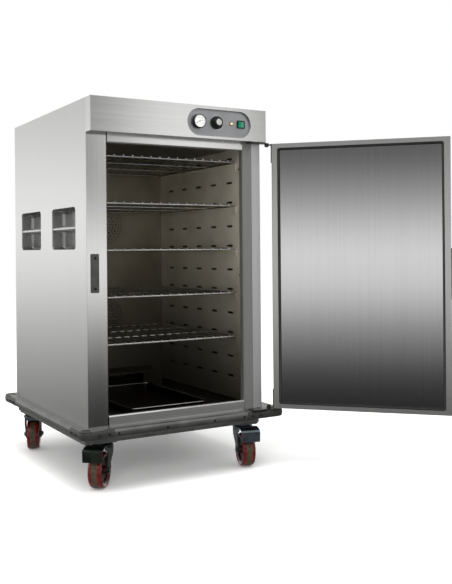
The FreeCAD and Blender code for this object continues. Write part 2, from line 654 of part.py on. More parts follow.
def door_gasket():
    """Silicone seal inside the border: a foot on the panel and a crest just proud of the border."""
    outer = rounded(door_block(BORDER_SIDE, BORDER_END, PANEL_Y, GASKET_CREST), 8, V(0, 1, 0))
    inner = rounded(door_block(BORDER_SIDE + GASKET_WIDE, BORDER_END + GASKET_WIDE, PANEL_Y - 1, 1), 5,
                    V(0, 1, 0))
    foot = door_block(BORDER_SIDE + 0.5, BORDER_END + 0.5, PANEL_Y, PANEL_Y + 2)
    foot = foot.cut(door_block(BORDER_SIDE + 9, BORDER_END + 9, PANEL_Y - 1, PANEL_Y + 3))
    return fuse([outer.cut(inner), foot.common(outer)])


def door_hinge_leaf(z, into):
    """Leaf screwed to the door's hinge edge, with an eye round the pin; into is the way to the door."""
    tongue_far = z + into * 4
    z0, z1 = sorted((z, tongue_far))
    leg0, leg1 = sorted((z, z + into * 70))
    leg = block(DOOR_RIGHT, DOOR_RIGHT + 3, -40, -6, leg0, leg1)
    tongue = block(DOOR_RIGHT, PIVOT.x, PIVOT.y - EYE_RADIUS, PIVOT.y + EYE_RADIUS, z0, z1)
    eye = disc(EYE_RADIUS, EYE_LONG, V(PIVOT.x, PIVOT.y, z), V(0, 0, into))
    bore = disc(PIN_RADIUS + RUNNING_GAP, 60, V(PIVOT.x, PIVOT.y, z - 30))
    return fuse([leg, tongue, eye]).cut(bore)


def door_hinge_leaves():
    return group([door_hinge_leaf(DOOR_BOTTOM, 1), door_hinge_leaf(DOOR_TOP, -1)])


def hinge_bracket(z0, z1, pin_to):
    """Cranked plate fixed to the cabinet, with its pin welded in."""
    nose_radius = EYE_RADIUS + 1
    plan = outline([(WIDTH - 60, -40), (WIDTH - 4, -40), (PIVOT.x, PIVOT.y - nose_radius),
                    (PIVOT.x, PIVOT.y + nose_radius), (WIDTH + 2, -4), (WIDTH - 60, -4)])
    plate = Part.Face(plan).extrude(V(0, 0, z1 - z0)).translate(V(0, 0, z0))
    nose = disc(nose_radius, z1 - z0, V(PIVOT.x, PIVOT.y, z0))
    low, high = sorted((z0, pin_to))
    pin = disc(PIN_RADIUS, high - low, V(PIVOT.x, PIVOT.y, low))
    return fuse([plate, nose, pin])


def hinge_brackets():
    return group([hinge_bracket(BUMPER_HIGH, BUMPER_HIGH + BRACKET_THICK, DOOR_BOTTOM + PIN_LONG),
                  hinge_bracket(HEADER_BOTTOM - BRACKET_THICK, HEADER_BOTTOM, DOOR_TOP - PIN_LONG)])


def latch_housing():
    """Body on the door's face with a nose that wraps round the free edge towards the strike."""
    x = DOOR_LEFT
    plan = outline([(x - 21, -12), (x - 21, -56), (x - 12, DOOR_FRONT - 22), (x + 42, DOOR_FRONT - 18),
                    (x + 46, DOOR_FRONT), (x - 0.2, DOOR_FRONT), (x - 0.2, -12)])
    body = Part.Face(plan).extrude(V(0, 0, LATCH_HIGH - LATCH_LOW)).translate(V(0, 0, LATCH_LOW))
    ears = [rounded(block(x + 28, x + 44, DOOR_FRONT - 36, DOOR_FRONT - 14, z, z + 8), 3, V(0, 0, 1))
            for z in (LATCH_LOW + 22, LATCH_HIGH - 30)]
    pin = disc(3, LATCH_HIGH - LATCH_LOW - 44, V(LATCH_AXIS.x, LATCH_AXIS.y, LATCH_LOW + 22))
    return fuse([body] + ears + [pin])


def latch_lever():
    """Pull paddle that turns out from the door about an upright pin."""
    low, high = LATCH_LOW + 30.4, LATCH_HIGH - 30.4
    x, y = LATCH_AXIS.x, LATCH_AXIS.y
    plan = outline([(x + 4, y - 6), (x - 14, y - 9), (x - 52, y - 7), (x - 60, y - 2), (x - 58, y),
                    (x - 50, y - 2.5), (x - 14, y - 3), (x + 4, y + 2)])
    paddle = Part.Face(plan).extrude(V(0, 0, high - low)).translate(V(0, 0, low))
    knuckle = disc(6.5, high - low, V(x, y, low))
    return fuse([paddle, knuckle]).cut(disc(3 + RUNNING_GAP, 400, V(x, y, LATCH_LOW - 50)))


def strike_plate():
    """Keeper on the left stile with two screws, where the latch's nose meets the frame."""
    plate = rounded(block(14, 43, -3, 0, 676, 807), 4, V(0, 1, 0))
    heads = [disc(5, 2, V(28.5, -3, z), AHEAD) for z in (690, 793)]
    return fuse([plate] + heads)


# ---------------------------------------------------------------- casters, drawn about their own axis
def caster_plate():
    """Top plate with four holes and the bearing housing under it."""
    plate = block(-48, 48, -40, 40, CASTER_HIGH - 4, CASTER_HIGH)
    plate = rounded(plate, 8, UP)
    for x in (-38, 38):
        for y in (-30, 30):
            plate = plate.cut(disc(4.5, 10, V(x, y, CASTER_HIGH - 7)))
    race = Part.makeCone(30, 35, 10, V(0, 0, CASTER_HIGH - 14))
    bolt = disc(6, 12, V(0, 0, CASTER_HIGH - 26))
    return fuse([plate, race, bolt])


def caster_fork(brake):
    """Crown and two legs, with the axle bolt and its nuts as a separate piece."""
    crown = disc(37, 6, V(0, 0, CASTER_HIGH - 21))
    crown = crown.cut(disc(AXLE_RADIUS + RUNNING_GAP, 20, V(0, 0, CASTER_HIGH - 30)))
    inside, outside = FORK_INSIDE, FORK_INSIDE + FORK_THICK
    leg = outline([(-30, CASTER_HIGH - 20), (-26, 112), (TRAIL - 15, 66), (TRAIL - 12, 50), (TRAIL, 45),
                   (TRAIL + 12, 50), (TRAIL + 15, 66), (34, 112), (32, CASTER_HIGH - 20)])
    plate = Part.Face(leg).extrude(V(0, 0, FORK_THICK))
    near = facing_front(plate, -inside)
    far = facing_front(plate, outside)
    web = block(-28, -22, -inside, inside, 128, CASTER_HIGH - 20)
    hole = disc(AXLE_RADIUS, 100, V(TRAIL, -50, WHEEL_RADIUS), V(0, 1, 0))
    frame = fuse([crown, near, far, web]).cut(hole)
    if brake:
        pins = [disc(PEDAL_PIN, 4, V(PEDAL_PIVOT.x, side * outside, PEDAL_PIVOT.z), V(0, side, 0))
                for side in (-1, 1)]
        frame = fuse([frame] + pins)
    axle = disc(AXLE_RADIUS, 2 * outside + 10, V(TRAIL, -outside - 5, WHEEL_RADIUS), V(0, 1, 0))
    head = hexagon(TRAIL, WHEEL_RADIUS, -outside - 5, 5)
    nut = hexagon(TRAIL, WHEEL_RADIUS, outside, 5)
    return group([frame, fuse([axle, head, nut])])


def hexagon(x, z, y, long):
    corners = [(x + 10 * math.cos(math.radians(60 * k)), z + 10 * math.sin(math.radians(60 * k)))
               for k in range(6)]
    return facing_front(Part.Face(outline(corners)).extrude(V(0, 0, long)), y + long)


def caster_wheel():
    """Tread on a dished core; the core is bored for the axle."""
    half = WHEEL_WIDE / 2
    rim = WHEEL_RIM
    tread = disc(WHEEL_RADIUS, WHEEL_WIDE, V(TRAIL, -half, WHEEL_RADIUS), V(0, 1, 0))
    tread = tread.makeFillet(9, [e for e in tread.Edges if e.BoundBox.YLength < 1e-6])
    tread = tread.cut(disc(rim, 100, V(TRAIL, -50, WHEEL_RADIUS), V(0, 1, 0)))
    web = disc(rim, 24, V(TRAIL, -12, WHEEL_RADIUS), V(0, 1, 0))
    ring = disc(rim, 40, V(TRAIL, -20, WHEEL_RADIUS), V(0, 1, 0))
    ring = ring.cut(disc(rim - 6, 100, V(TRAIL, -50, WHEEL_RADIUS), V(0, 1, 0)))
    hub = disc(15, 2 * FORK_INSIDE - 2, V(TRAIL, 1 - FORK_INSIDE, WHEEL_RADIUS), V(0, 1, 0))
    core = fuse([web, ring, hub]).cut(
        disc(AXLE_RADIUS + RUNNING_GAP, 100, V(TRAIL, -50, WHEEL_RADIUS), V(0, 1, 0)))
    return group([tread, core])


def brake_pedal():
    """Wide pressed foot plate in front of the wheel, on two arms pivoted on the fork."""
    arm_in = FORK_INSIDE + FORK_THICK + 0.5
    side = arm_in + 3
    x = PEDAL_PIVOT.x
    arm = outline([(x - 8, 124), (40, 126), (64, 134), (74, 146), (74, 152), (64, 151), (40, 139),
                   (20, 137.5), (x, 137), (x - 8, 136)])
    foot = outline([(62, 154), (84, 153), (108, 147), (112, 141), (109, 104), (105.5, 104), (108.3, 140),
                    (105.5, 144), (83.5, 149.5), (62, 150.5)])
    arm_plate = Part.Face(arm).extrude(V(0, 0, 3))
    foot_plate = Part.Face(foot).extrude(V(0, 0, 2 * side))
    pedal = fuse([facing_front(arm_plate, -arm_in), facing_front(arm_plate, side),
                  facing_front(foot_plate, side)])
    return pedal.cut(disc(PEDAL_PIN + RUNNING_GAP, 100, V(x, -50, PEDAL_PIVOT.z), V(0, 1, 0)))


def placed(shape, caster):
    """Turn a caster's piece to its heading and stand it under its corner."""
    x, y, heading = CASTERS[caster][:3]
    copy = shape.copy()
    copy.rotate(V(0, 0, 0), UP, -90 - heading)
    return copy.translate(V(x, y, 0))


# ---------------------------------------------------------------- the whole carrier
def build_cabinet():
    left_skin = left_side_panel()
    pockets = [handle_pocket(front) for front in POCKET_FRONTS]
    bars = [handle_bar(front) for front in POCKET_FRONTS]
    left_duct = duct_panel()
    left_post = upright(post_outline(SKIN, OPEN_LEFT))
    right_stile = upright(post_outline(POST_SEAM, OPEN_RIGHT))
    nodes.update({
        "base_frame": base_frame(),
        "bumper_rails": bumper_rails(),
        "bumper_corners": bumper_corners(),
        "left_side_panel": left_skin,
        "right_side_panel": mirrored(left_skin),
        "rear_panel": rear_panel(),
        "top_panel": top_panel(),
        "header_fascia": header_fascia(),
        "left_stile": left_post,
        "right_stile": right_stile,
        "hinge_post": hinge_post(),
        "top_rail": crossing(HEADER_BOTTOM, OPEN_TOP),
        "front_sill": crossing(BODY_BOTTOM, OPEN_BOTTOM),
        "cabinet_insulation": cabinet_insulation(),
        "inner_liner": inner_liner(),
        "duct_panels": group([left_duct, mirrored(left_duct)]),
        "rear_baffle": rear_baffle(),
        "fan_motors": group([fan_motor(level) for level in FAN_LEVELS.values()]),
        "heating_element": heating_element(),
        "shelf_runners": shelf_runners(),
        "water_pan": water_pan(),
        "handle_pockets": group(pockets + [mirrored(pocket) for pocket in pockets]),
        "handle_bars": group(bars + [mirrored(bar) for bar in bars]),
        "strike_plate": strike_plate(),
        "hinge_brackets": hinge_brackets(),
        "power_inlet": power_inlet(),
    })
    for name, level in FAN_LEVELS.items():
        nodes["fan_impeller_" + name] = fan_impeller(level)
    shelf = wire_shelf(SHELF_LEVELS[0])
    for number, level in enumerate(SHELF_LEVELS, 1):
        copy = shelf.copy()
        nodes["wire_shelf_%d" % number] = copy.translate(V(0, 0, level - SHELF_LEVELS[0]))


def build_controls():
    for make in (control_plate, thermometer_case, thermometer_needle, thermometer_lens, thermostat_body,
                 thermostat_knob, pilot_lamp, switch_housing, switch_rocker):
        nodes[make.__name__] = make()


def build_door():
    """The door's pieces are drawn closed, then swung open together about the hinge line."""
    for make in (door_outer_skin, door_inner_panel, door_insulation, door_gasket, door_hinge_leaves,
                 latch_housing, latch_lever):
        piece = make()
        piece.rotate(PIVOT, UP, DOOR_ANGLE)
        nodes[make.__name__] = piece


def build_casters():
    plate, wheel, pedal = caster_plate(), caster_wheel(), brake_pedal()
    forks = {brake: caster_fork(brake) for brake in (True, False)}
    nodes["caster_plates"] = group([placed_plate(plate, caster) for caster in CASTERS])
    for caster in CASTERS:
        brake = CASTERS[caster][3]
        nodes["fork_" + caster] = placed(forks[brake], caster)
        nodes["wheel_" + caster] = placed(wheel, caster)
        if brake:
            nodes["brake_pedal_" + caster] = placed(pedal, caster)


def placed_plate(plate, caster):
    """The top plate stays square to the frame whatever way its caster points."""
    x, y = CASTERS[caster][:2]
    copy = plate.copy()
    copy.rotate(V(0, 0, 0), UP, 90)
    return copy.translate(V(x, y, 0))


def door_point(point):
    """Where a point of the closed door is with the door open at rest."""
    turn = math.radians(DOOR_ANGLE)
    dx, dy = point.x - PIVOT.x, point.y - PIVOT.y
    return V(PIVOT.x + dx * math.cos(turn) - dy * math.sin(turn),
             PIVOT.y + dx * math.sin(turn) + dy * math.cos(turn), point.z)


def write_parts():
    """Move every node so that the origin is under the middle of the whole box, and export."""
    box = FreeCAD.BoundBox()
    for shape in nodes.values():
        box.add(shape.optimalBoundingBox(False, False))
    shift = V(-(box.XMin + box.XMax) / 2, -(box.YMin + box.YMax) / 2, -box.ZMin)
    os.makedirs("parts", exist_ok=True)
    for name, shape in nodes.items():
        shape.translate(shift)
        shape.exportStep("parts/%s.step" % name)
        sound = all(solid.isValid() for solid in shape.Solids)
        print("%-26s solids %2d  volume %10.1f  valid %s" % (name, len(shape.Solids), shape.Volume, sound))
    print("nodes", len(nodes), "size", [round(v, 2) for v in (box.XLength, box.YLength, box.ZLength)])
    print("shift", [round(v, 4) for v in shift])
    anchors = {"door_hinge": PIVOT, "latch": door_point(LATCH_AXIS),
               "needle": V(GAUGE_X, FACE, ROW_Z), "knob": V(KNOB_X, FACE, ROW_Z),
               "rocker": V(SWITCH_X, FACE + 2, ROW_Z)}
    for name, level in FAN_LEVELS.items():
        anchors["fan_" + name] = V(FAN_X, LINER_BACK, level)
    for caster, (x, y, heading, _) in CASTERS.items():
        turn = math.radians(-90 - heading)
        along, across = V(math.cos(turn), math.sin(turn), 0), V(-math.sin(turn), math.cos(turn), 0)
        anchors["swivel_" + caster] = V(x, y, CASTER_HIGH)
        anchors["wheel_" + caster] = V(x, y, WHEEL_RADIUS) + along * TRAIL
        anchors["pedal_" + caster] = V(x, y, PEDAL_PIVOT.z) + along * PEDAL_PIVOT.x
        print("axle direction", caster, [round(v, 6) for v in across])
    for name, point in anchors.items():
        print("anchor", name, [round(v, 4) for v in point + shift])


build_cabinet()
build_controls()
build_door()
build_casters()
write_parts()
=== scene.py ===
# %% [markdown]
# # A heated food carrier, dressed in Blender
#
# The steel cabinet, its door, shelves and casters already exist as CAD nodes. This lesson keeps those
# shapes where they are right, gives each one a finish worked out from what it is made of, and builds the
# pieces where the eye wants more: bent shelf wires, a lipped door seal, poured wheels, a dial.
# The first cell loads the CAD frame, and a helper reads the box of any of its nodes.

import json
import math

import bmesh
import bpy
from mathutils import Matrix, Vector


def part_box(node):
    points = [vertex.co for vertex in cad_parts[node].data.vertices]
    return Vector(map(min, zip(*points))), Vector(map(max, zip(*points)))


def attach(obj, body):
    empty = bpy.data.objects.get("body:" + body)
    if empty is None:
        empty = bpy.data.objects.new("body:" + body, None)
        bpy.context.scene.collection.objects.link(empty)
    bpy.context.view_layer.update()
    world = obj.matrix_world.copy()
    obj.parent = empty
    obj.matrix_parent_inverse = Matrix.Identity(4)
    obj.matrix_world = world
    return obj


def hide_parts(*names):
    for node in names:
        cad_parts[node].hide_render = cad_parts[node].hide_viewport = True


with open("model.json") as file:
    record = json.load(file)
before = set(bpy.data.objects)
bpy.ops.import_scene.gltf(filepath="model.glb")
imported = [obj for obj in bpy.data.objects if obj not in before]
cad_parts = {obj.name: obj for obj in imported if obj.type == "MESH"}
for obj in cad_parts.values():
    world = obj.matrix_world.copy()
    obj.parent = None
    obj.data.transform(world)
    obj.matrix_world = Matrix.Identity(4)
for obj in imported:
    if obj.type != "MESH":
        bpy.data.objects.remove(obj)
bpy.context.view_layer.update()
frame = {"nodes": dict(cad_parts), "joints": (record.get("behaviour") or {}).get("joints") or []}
nodes = frame["nodes"]
MM = 0.001

# %% [markdown]
# Every place is worked out from the frame, in millimetres from the cabinet's front left corner on the
# floor: X to the right, Y back, Z up.

# %% A corner to measure from
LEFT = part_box("left_side_panel")[0].x
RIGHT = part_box("right_side_panel")[1].x
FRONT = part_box("left_stile")[0].y
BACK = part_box("rear_panel")[1].y


def at(x, y, z):
    """A point given in millimetres from the cabinet's front left corner."""
    return Vector((LEFT + x * MM, FRONT + y * MM, z * MM))


def middle(node):
    """Centre of a CAD node's box."""
    low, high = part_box(node)
    return (low + high) / 2


joints = {joint["name"]: joint for joint in frame["joints"]}
print("cabinet", round((RIGHT - LEFT) / MM), "mm wide,", round((BACK - FRONT) / MM), "mm deep")

# %% [markdown]
# ## Materials
#
# A material is a small graph of nodes. One function adds a node, sets its fields and links its inputs, and
# another turns the sRGB hex colours that people read off a chart into the linear values that Blender mixes.


# %% Colour and node helpers
def from_hex(code, alpha=1.0):
    """sRGB hex to a linear colour."""
    channels = [int(code[i:i + 2], 16) / 255 for i in (1, 3, 5)]
    linear = [c / 12.92 if c <= 0.04045 else ((c + 0.055) / 1.055) ** 2.4 for c in channels]
    return (*linear, alpha)


def add(tree, kind, inputs=None, **fields):
    """Add a node, set its fields, and fill or link its inputs."""
    node = tree.nodes.new("ShaderNode" + kind)
    for name, value in fields.items():
        setattr(node, name, value)
    for name, value in (inputs or {}).items():
        if isinstance(value, bpy.types.NodeSocket):
            tree.links.new(value, node.inputs[name])
        else:
            node.inputs[name].default_value = value
    return node


def new_material(name, **surface):
    """A material with one Principled shader, whose even values are set on its own sockets."""
    material = bpy.data.materials.new(name)
    material.use_nodes = True
    tree = material.node_tree
    shader = tree.nodes["Principled BSDF"]
    for socket, value in surface.items():
        shader.inputs[socket.replace("_", " ")].default_value = value
    return material, tree, shader


def ramp(tree, factor, stops):
    """A colour ramp from (position, colour) stops."""
    node = add(tree, "ValToRGB", {"Fac": factor})
    points = node.color_ramp.elements
    while len(points) < len(stops):
        points.new(0.5)
    for point, (position, colour) in zip(points, stops):
        point.position = position
        point.color = colour
    return node.outputs["Color"]


def mix(tree, factor, first, second, kind="RGBA"):
    """Mix two colours, or two plain values if the kind is FLOAT."""
    inputs = {"Factor": factor, "A": first, "B": second}
    return add(tree, "Mix", inputs, data_type=kind).outputs["Result"]


def wire_up(tree, shader, **sources):
    """Link node outputs to the shader's sockets by name."""
    for socket, source in sources.items():
        tree.links.new(source, shader.inputs[socket.replace("_", " ")])


def spread(tree, value, low, high):
    """Map 0..1 to low..high."""
    return add(tree, "MapRange", {"Value": value, "To Min": low, "To Max": high}).outputs["Result"]


def rise(tree, value, start, end, ease="LINEAR"):
    """Map start..end to 0..1, and stay there on either side."""
    inputs = {"Value": value, "From Min": start, "From Max": end}
    return add(tree, "MapRange", inputs, interpolation_type=ease).outputs["Result"]


print("helpers ready")

# %% [markdown]
# ### Brushed stainless sheet
#
# The skins are 304 stainless, brushed with a belt: thousands of fine parallel scratches in one direction.
# They could be painted as lines, but it is the way they smear reflections that makes steel read as
# brushed. So the graph stretches noise along the grain, drives roughness and a slight bump with it, and
# the shader is made anisotropic with its tangent across the grain. Real scratches are 0.05 mm apart, too
# fine to show, so they are drawn about 0.8 mm apart with broader streaks over them.


# %% Brushed steel
GRAIN_ALONG = 260.0      # mm, length of a scratch
GRAIN_FINE = 0.8         # mm across one drawn scratch
GRAIN_BROAD = 9.0        # mm across one streak of the belt


def stretched(tree, grain, across_mm, along_mm, detail=2.0):
    """Noise drawn out along one axis, in object space, with its sizes in millimetres."""
    scale = [1 / (across_mm * MM)] * 3
    scale["XYZ".index(grain)] = 1 / (along_mm * MM)
    place = add(tree, "TexCoord").outputs["Object"]
    mapped = add(tree, "Mapping", {"Vector": place, "Scale": scale}).outputs["Vector"]
    return add(tree, "TexNoise", {"Vector": mapped, "Scale": 1.0, "Detail": detail}).outputs["Fac"]


def brushed_steel(name, light, dark, grain, roughness, anisotropy=0.55, depth=0.00001):
    """Belt-brushed stainless: colour, roughness and bump all follow the grain."""
    material, tree, shader = new_material(name, Metallic=1.0, Anisotropic=anisotropy)
    fine = stretched(tree, grain, GRAIN_FINE, GRAIN_ALONG)
    broad = stretched(tree, grain, GRAIN_BROAD, GRAIN_ALONG * 4)
    both = mix(tree, 0.45, fine, broad, "FLOAT")
    place = add(tree, "TexCoord").outputs["Object"]
    wiped = add(tree, "TexNoise", {"Vector": place, "Scale": 7.0, "Detail": 3.0}).outputs["Fac"]
    blend = mix(tree, 0.25, both, wiped, "FLOAT")
    tint = ramp(tree, both, [(0.3, from_hex(dark)), (0.7, from_hex(light))])
    rough = spread(tree, blend, roughness * 0.88, roughness * 1.12)
    bump = add(tree, "Bump", {"Height": fine, "Strength": 0.35, "Distance": depth}).outputs["Normal"]
    normal = add(tree, "NewGeometry").outputs["Normal"]
    along = (1, 0.06, 0.06) if grain == "X" else (0.06, 0.06, 1)
    crossed = add(tree, "VectorMath", {0: normal, 1: along}, operation="CROSS_PRODUCT").outputs["Vector"]
    across = add(tree, "VectorMath", {0: crossed}, operation="NORMALIZE").outputs["Vector"]
    wire_up(tree, shader, Base_Color=tint, Roughness=rough, Normal=bump, Tangent=across)
    return material


side_steel = brushed_steel("brushed_stainless_upright", "#dadad8", "#d3d3d1", "Z", 0.30)
header_steel = brushed_steel("brushed_stainless_across", "#e2e2e0", "#d6d6d4", "X", 0.21)
stile_steel = brushed_steel("brushed_stainless_stile", "#dededc", "#d6d6d4", "Z", 0.16)
dull_stile_steel = brushed_steel("dull_brushed_stainless", "#c8c8c6", "#bcbcba", "Z", 0.58)
post_steel = brushed_steel("bright_brushed_stainless", "#f2f2f4", "#e6e6e8", "Z", 0.42)
door_steel = brushed_steel("brushed_stainless_door_panel", "#cacaca", "#c2c2c2", "Z", 0.11, 0.6)
print("brushed sheets:", 6)

# %% [markdown]
# ### Liner, wires and buffer
#
# The lining is the same steel, cold rolled, with a colour darker than the skins' as painted shade inside the
# cabinet. Lining, ducts and baffle also darken towards the bottom as painted shade: fully low down, not at
# all at the top. It is partly diffuse, which is how a film of grease looks. Wires and rods are
# electropolished. The buffer is a drawn profile with a satin surface, and its caps are moulded; a cloudy
# grey noise is enough for these, since they turn corners.


# %% Plain metals
SHADE_FULL, SHADE_NONE = 0.22, 1.02     # m above the floor: full painted shade, and none


def cloudy(tree, place, size_mm, detail):
    """Noise in object space whose patches have a given size."""
    inputs = {"Vector": place, "Scale": 1 / (size_mm * MM), "Detail": detail}
    return add(tree, "TexNoise", inputs).outputs["Fac"]


def cast_metal(name, light, dark, roughness, cloud_mm, depth=0.00005, metallic=1.0, tinted=None):
    """Metal without a grain: cloudy, with a faint skin; tinted is the colour of a painted shade that it
    darkens to towards the bottom.
    """
    material, tree, shader = new_material(name, Metallic=metallic)
    place = add(tree, "TexCoord").outputs["Object"]
    cloud = cloudy(tree, place, cloud_mm, 4.0)
    skin = cloudy(tree, place, 1.2, 2.0)
    tint = ramp(tree, cloud, [(0.32, from_hex(dark)), (0.68, from_hex(light))])
    if tinted:
        up = add(tree, "SeparateXYZ", {"Vector": place}).outputs["Z"]
        unshaded = rise(tree, up, SHADE_FULL, SHADE_NONE, "SMOOTHSTEP")
        tint = mix(tree, unshaded, from_hex(tinted), tint)
    rough = spread(tree, cloud, roughness - 0.06, roughness + 0.08)
    bump = add(tree, "Bump", {"Height": skin, "Strength": 0.25, "Distance": depth}).outputs["Normal"]
    wire_up(tree, shader, Base_Color=tint, Roughness=rough, Normal=bump)
    return material


# The last colour given to the lining, ducts and baffle is a painted shade that they darken to towards the
# bottom. The lining's own colours are darkened too, as painted shade inside the cabinet.
liner_steel = cast_metal("rolled_liner_stainless", "#7e7a71", "#69655d", 0.30, 160, 0.00002, 0.9, "#5d5850")
duct_steel = cast_metal("rolled_duct_stainless", "#ebe4d2", "#d6cfbe", 0.42, 160, 0.00002, 0.62, "#4b463c")
baffle_steel = cast_metal("rolled_baffle_stainless", "#968f81", "#7f796c", 0.36, 160, 0.00002, 0.8, "#4f4a41")
tray_steel = cast_metal("pressed_tray_stainless", "#b8b8b6", "#a6a6a4", 0.26, 90.0, 0.00002, 0.93)
# The pan's near-black colours are painted shade at the bottom of the cabinet.
pan_steel = cast_metal("pan_stainless_painted_shade", "#4a4844", "#33312e", 0.32, 60.0, 0.00002)
wire_steel = cast_metal("electropolished_wire", "#d9d8d4", "#bdbcb8", 0.18, 30.0, 0.00001)
buffer_metal = cast_metal("satin_buffer_profile", "#8b8b89", "#757573", 0.38, 60.0)
hinge_metal = cast_metal("plated_hinge_steel", "#6b6a66", "#4f4e4b", 0.36, 15.0)
base_metal = cast_metal("base_tube_steel", "#8c8c8a", "#73736f", 0.45, 50.0)
motor_metal = cast_metal("dark_cast_aluminium", "#4a4a48", "#383836", 0.5, 12.0, 0.0001)
sheath_metal = cast_metal("heat_tinted_sheath", "#5c5148", "#3d3630", 0.4, 20.0)
dish_metal = cast_metal("satin_control_dish", "#d2d4d6", "#bcbec0", 0.42, 90.0)
screw_metal = cast_metal("dark_fasteners", "#4c4c4a", "#333331", 0.35, 4.0)
print("plain metals ready")

# %% [markdown]
# ### Zinc-plated pressings
#
# Caster forks and pedals are pressed from mild steel and plated with zinc, then passivated, which leaves a
# thin film in cloudy patches. A large noise and a fine spangle pick between four colours. Two batches are
# made: the usual blue one, and a darker green one for one caster.


# %% Passivated zinc
def passivated_zinc(name, colours):
    """Zinc with a thin film in cloudy patches; the colours run from the thickest film to the thinnest."""
    material, tree, shader = new_material(name, Metallic=1.0)
    place = add(tree, "TexCoord").outputs["Object"]
    patches = cloudy(tree, place, 22, 5.0)
    spangle = add(tree, "TexVoronoi", {"Vector": place, "Scale": 1 / (3 * MM)}).outputs["Distance"]
    mixed = mix(tree, 0.2, patches, spangle, "FLOAT")
    stops = zip((0.30, 0.45, 0.58, 0.75), colours)
    tint = ramp(tree, mixed, [(stop, from_hex(colour)) for stop, colour in stops])
    rough = spread(tree, mixed, 0.28, 0.5)
    bump = add(tree, "Bump", {"Height": spangle, "Strength": 0.2, "Distance": 0.0001}).outputs["Normal"]
    wire_up(tree, shader, Base_Color=tint, Roughness=rough, Normal=bump)
    return material


zinc = passivated_zinc("blue_passivated_zinc", ["#4d565a", "#6c757b", "#7a838c", "#868a8c"])
green_zinc = passivated_zinc("green_passivated_zinc", ["#2f3633", "#414a45", "#4d5650", "#62675c"])
print("zinc", zinc.name, green_zinc.name)

# %% [markdown]
# ### Plastics, silicone and glass
#
# Moulded plastic has a fine spark-eroded texture on handles and housings, and none on knobs and lenses.
# Silicone is matt with a little bloom. The thermometer's lens is thin and clear, a film that is nearly
# all see-through, so that the dial behind it stays white.


# %% Moulded parts
def moulded(name, light, dark, roughness, grit_mm=0.8, depth=0.00006, **surface):
    """Moulded or coated surface: a slight colour drift and a pebbled skin of a given size."""
    material, tree, shader = new_material(name, **surface)
    place = add(tree, "TexCoord").outputs["Object"]
    drift = add(tree, "TexNoise", {"Vector": place, "Scale": 40.0, "Detail": 3.0}).outputs["Fac"]
    grit = cloudy(tree, place, grit_mm, 1.0)
    tint = ramp(tree, drift, [(0.3, from_hex(dark)), (0.7, from_hex(light))])
    rough = spread(tree, drift, roughness - 0.05, roughness + 0.08)
    bump = add(tree, "Bump", {"Height": grit, "Strength": 0.3, "Distance": depth}).outputs["Normal"]
    wire_up(tree, shader, Base_Color=tint, Roughness=rough, Normal=bump)
    return material


black_plastic = moulded("black_nylon", "#141414", "#0a0a0a", 0.36)
# The corner caps' colours are far darker than the rails': partly their own grey, partly painted shade.
corner_grey_and_shade = moulded("grey_moulded_corner_and_shade", "#2c2c2a", "#20201e", 0.40, 1.2)
black_coat = moulded("black_powder_coat", "#101010", "#070707", 0.42, 1.6, 0.0001)
strike_grey = moulded("dark_grey_coat", "#3e3e3e", "#313131", 0.4, 1.6)
# The seal's black is partly the silicone's own colour and partly a painted shadow that the door's raised
# border casts on the recessed panel.
seal_black_and_shadow = moulded("black_silicone", "#0d0d0d", "#050505", 0.6, 0.6, 0.00003, Sheen_Weight=0.15)
rocker_green = moulded("green_polycarbonate", "#12906c", "#0a6a4e", 0.22, 3.0, 0.00001, Coat_Weight=0.5)
amber = moulded("amber_acrylic", "#efd9bd", "#dcb889", 0.15, 3.0, 0.00001, Coat_Weight=0.6)
dial_enamel = moulded("white_dial_enamel", "#f2f2ef", "#e6e6e2", 0.5, 2.0, 0.00001)
printed_ink = moulded("dial_ink", "#202020", "#161616", 0.6)
wool = moulded("mineral_wool", "#7a7056", "#5c533b", 0.95, 2.5, 0.001)
lamp_brown = moulded("brown_lamp_bezel", "#5a3a24", "#452b19", 0.4, 2.0, 0.00001)
clear_glass, _, _ = new_material("clear_lens", Roughness=0.03, Alpha=0.10)
print("moulded parts ready")

# %% [markdown]
# ### Cast polyurethane
#
# The wheels are red polyurethane poured on a core: glossy on the flanks, worn dull and stained brown where
# they roll. The wheels below are built about their own axle, so the distance from the middle of the tread
# is one coordinate of object space, and a band with a ragged edge can be cut from it.


# %% Worn tread
WORN_HALF, CLEAN_HALF = 0.011, 0.016     # m from the middle of the tread: worn, and clean again
FLANK, ROLLING_FACE = 0.0595, 0.0615     # m from the centre of the wheel
RAGGED = 0.008                           # m that the noise moves the band's edge


def polyurethane():
    """Red on the flanks, brown where it rolls."""
    material, tree, shader = new_material("red_polyurethane", Coat_Weight=0.25, Coat_Roughness=0.2)
    place = add(tree, "TexCoord").outputs["Object"]
    across = add(tree, "SeparateXYZ", {"Vector": place}).outputs["Z"]
    mottle = cloudy(tree, place, 9, 4.0)
    away = add(tree, "Math", {0: across}, operation="ABSOLUTE").outputs[0]
    ragged = add(tree, "Math", {0: mottle, 1: RAGGED, 2: away}, operation="MULTIPLY_ADD").outputs[0]
    band = add(tree, "MapRange", {"Value": ragged, "From Min": WORN_HALF, "From Max": CLEAN_HALF,
                                  "To Min": 1.0, "To Max": 0.0}).outputs["Result"]
    height = add(tree, "VectorMath", {0: place}, operation="LENGTH").outputs["Value"]
    rolling = rise(tree, height, FLANK, ROLLING_FACE)
    worn = add(tree, "Math", {0: band, 1: rolling}, operation="MULTIPLY").outputs[0]
    red = ramp(tree, mottle, [(0.3, from_hex("#3e0704")), (0.7, from_hex("#691009"))])
    olive = ramp(tree, mottle, [(0.3, from_hex("#2f2819")), (0.7, from_hex("#4b4128"))])
    tint = mix(tree, worn, red, olive)
    wire_up(tree, shader, Base_Color=tint, Roughness=spread(tree, worn, 0.24, 0.6))
    return material


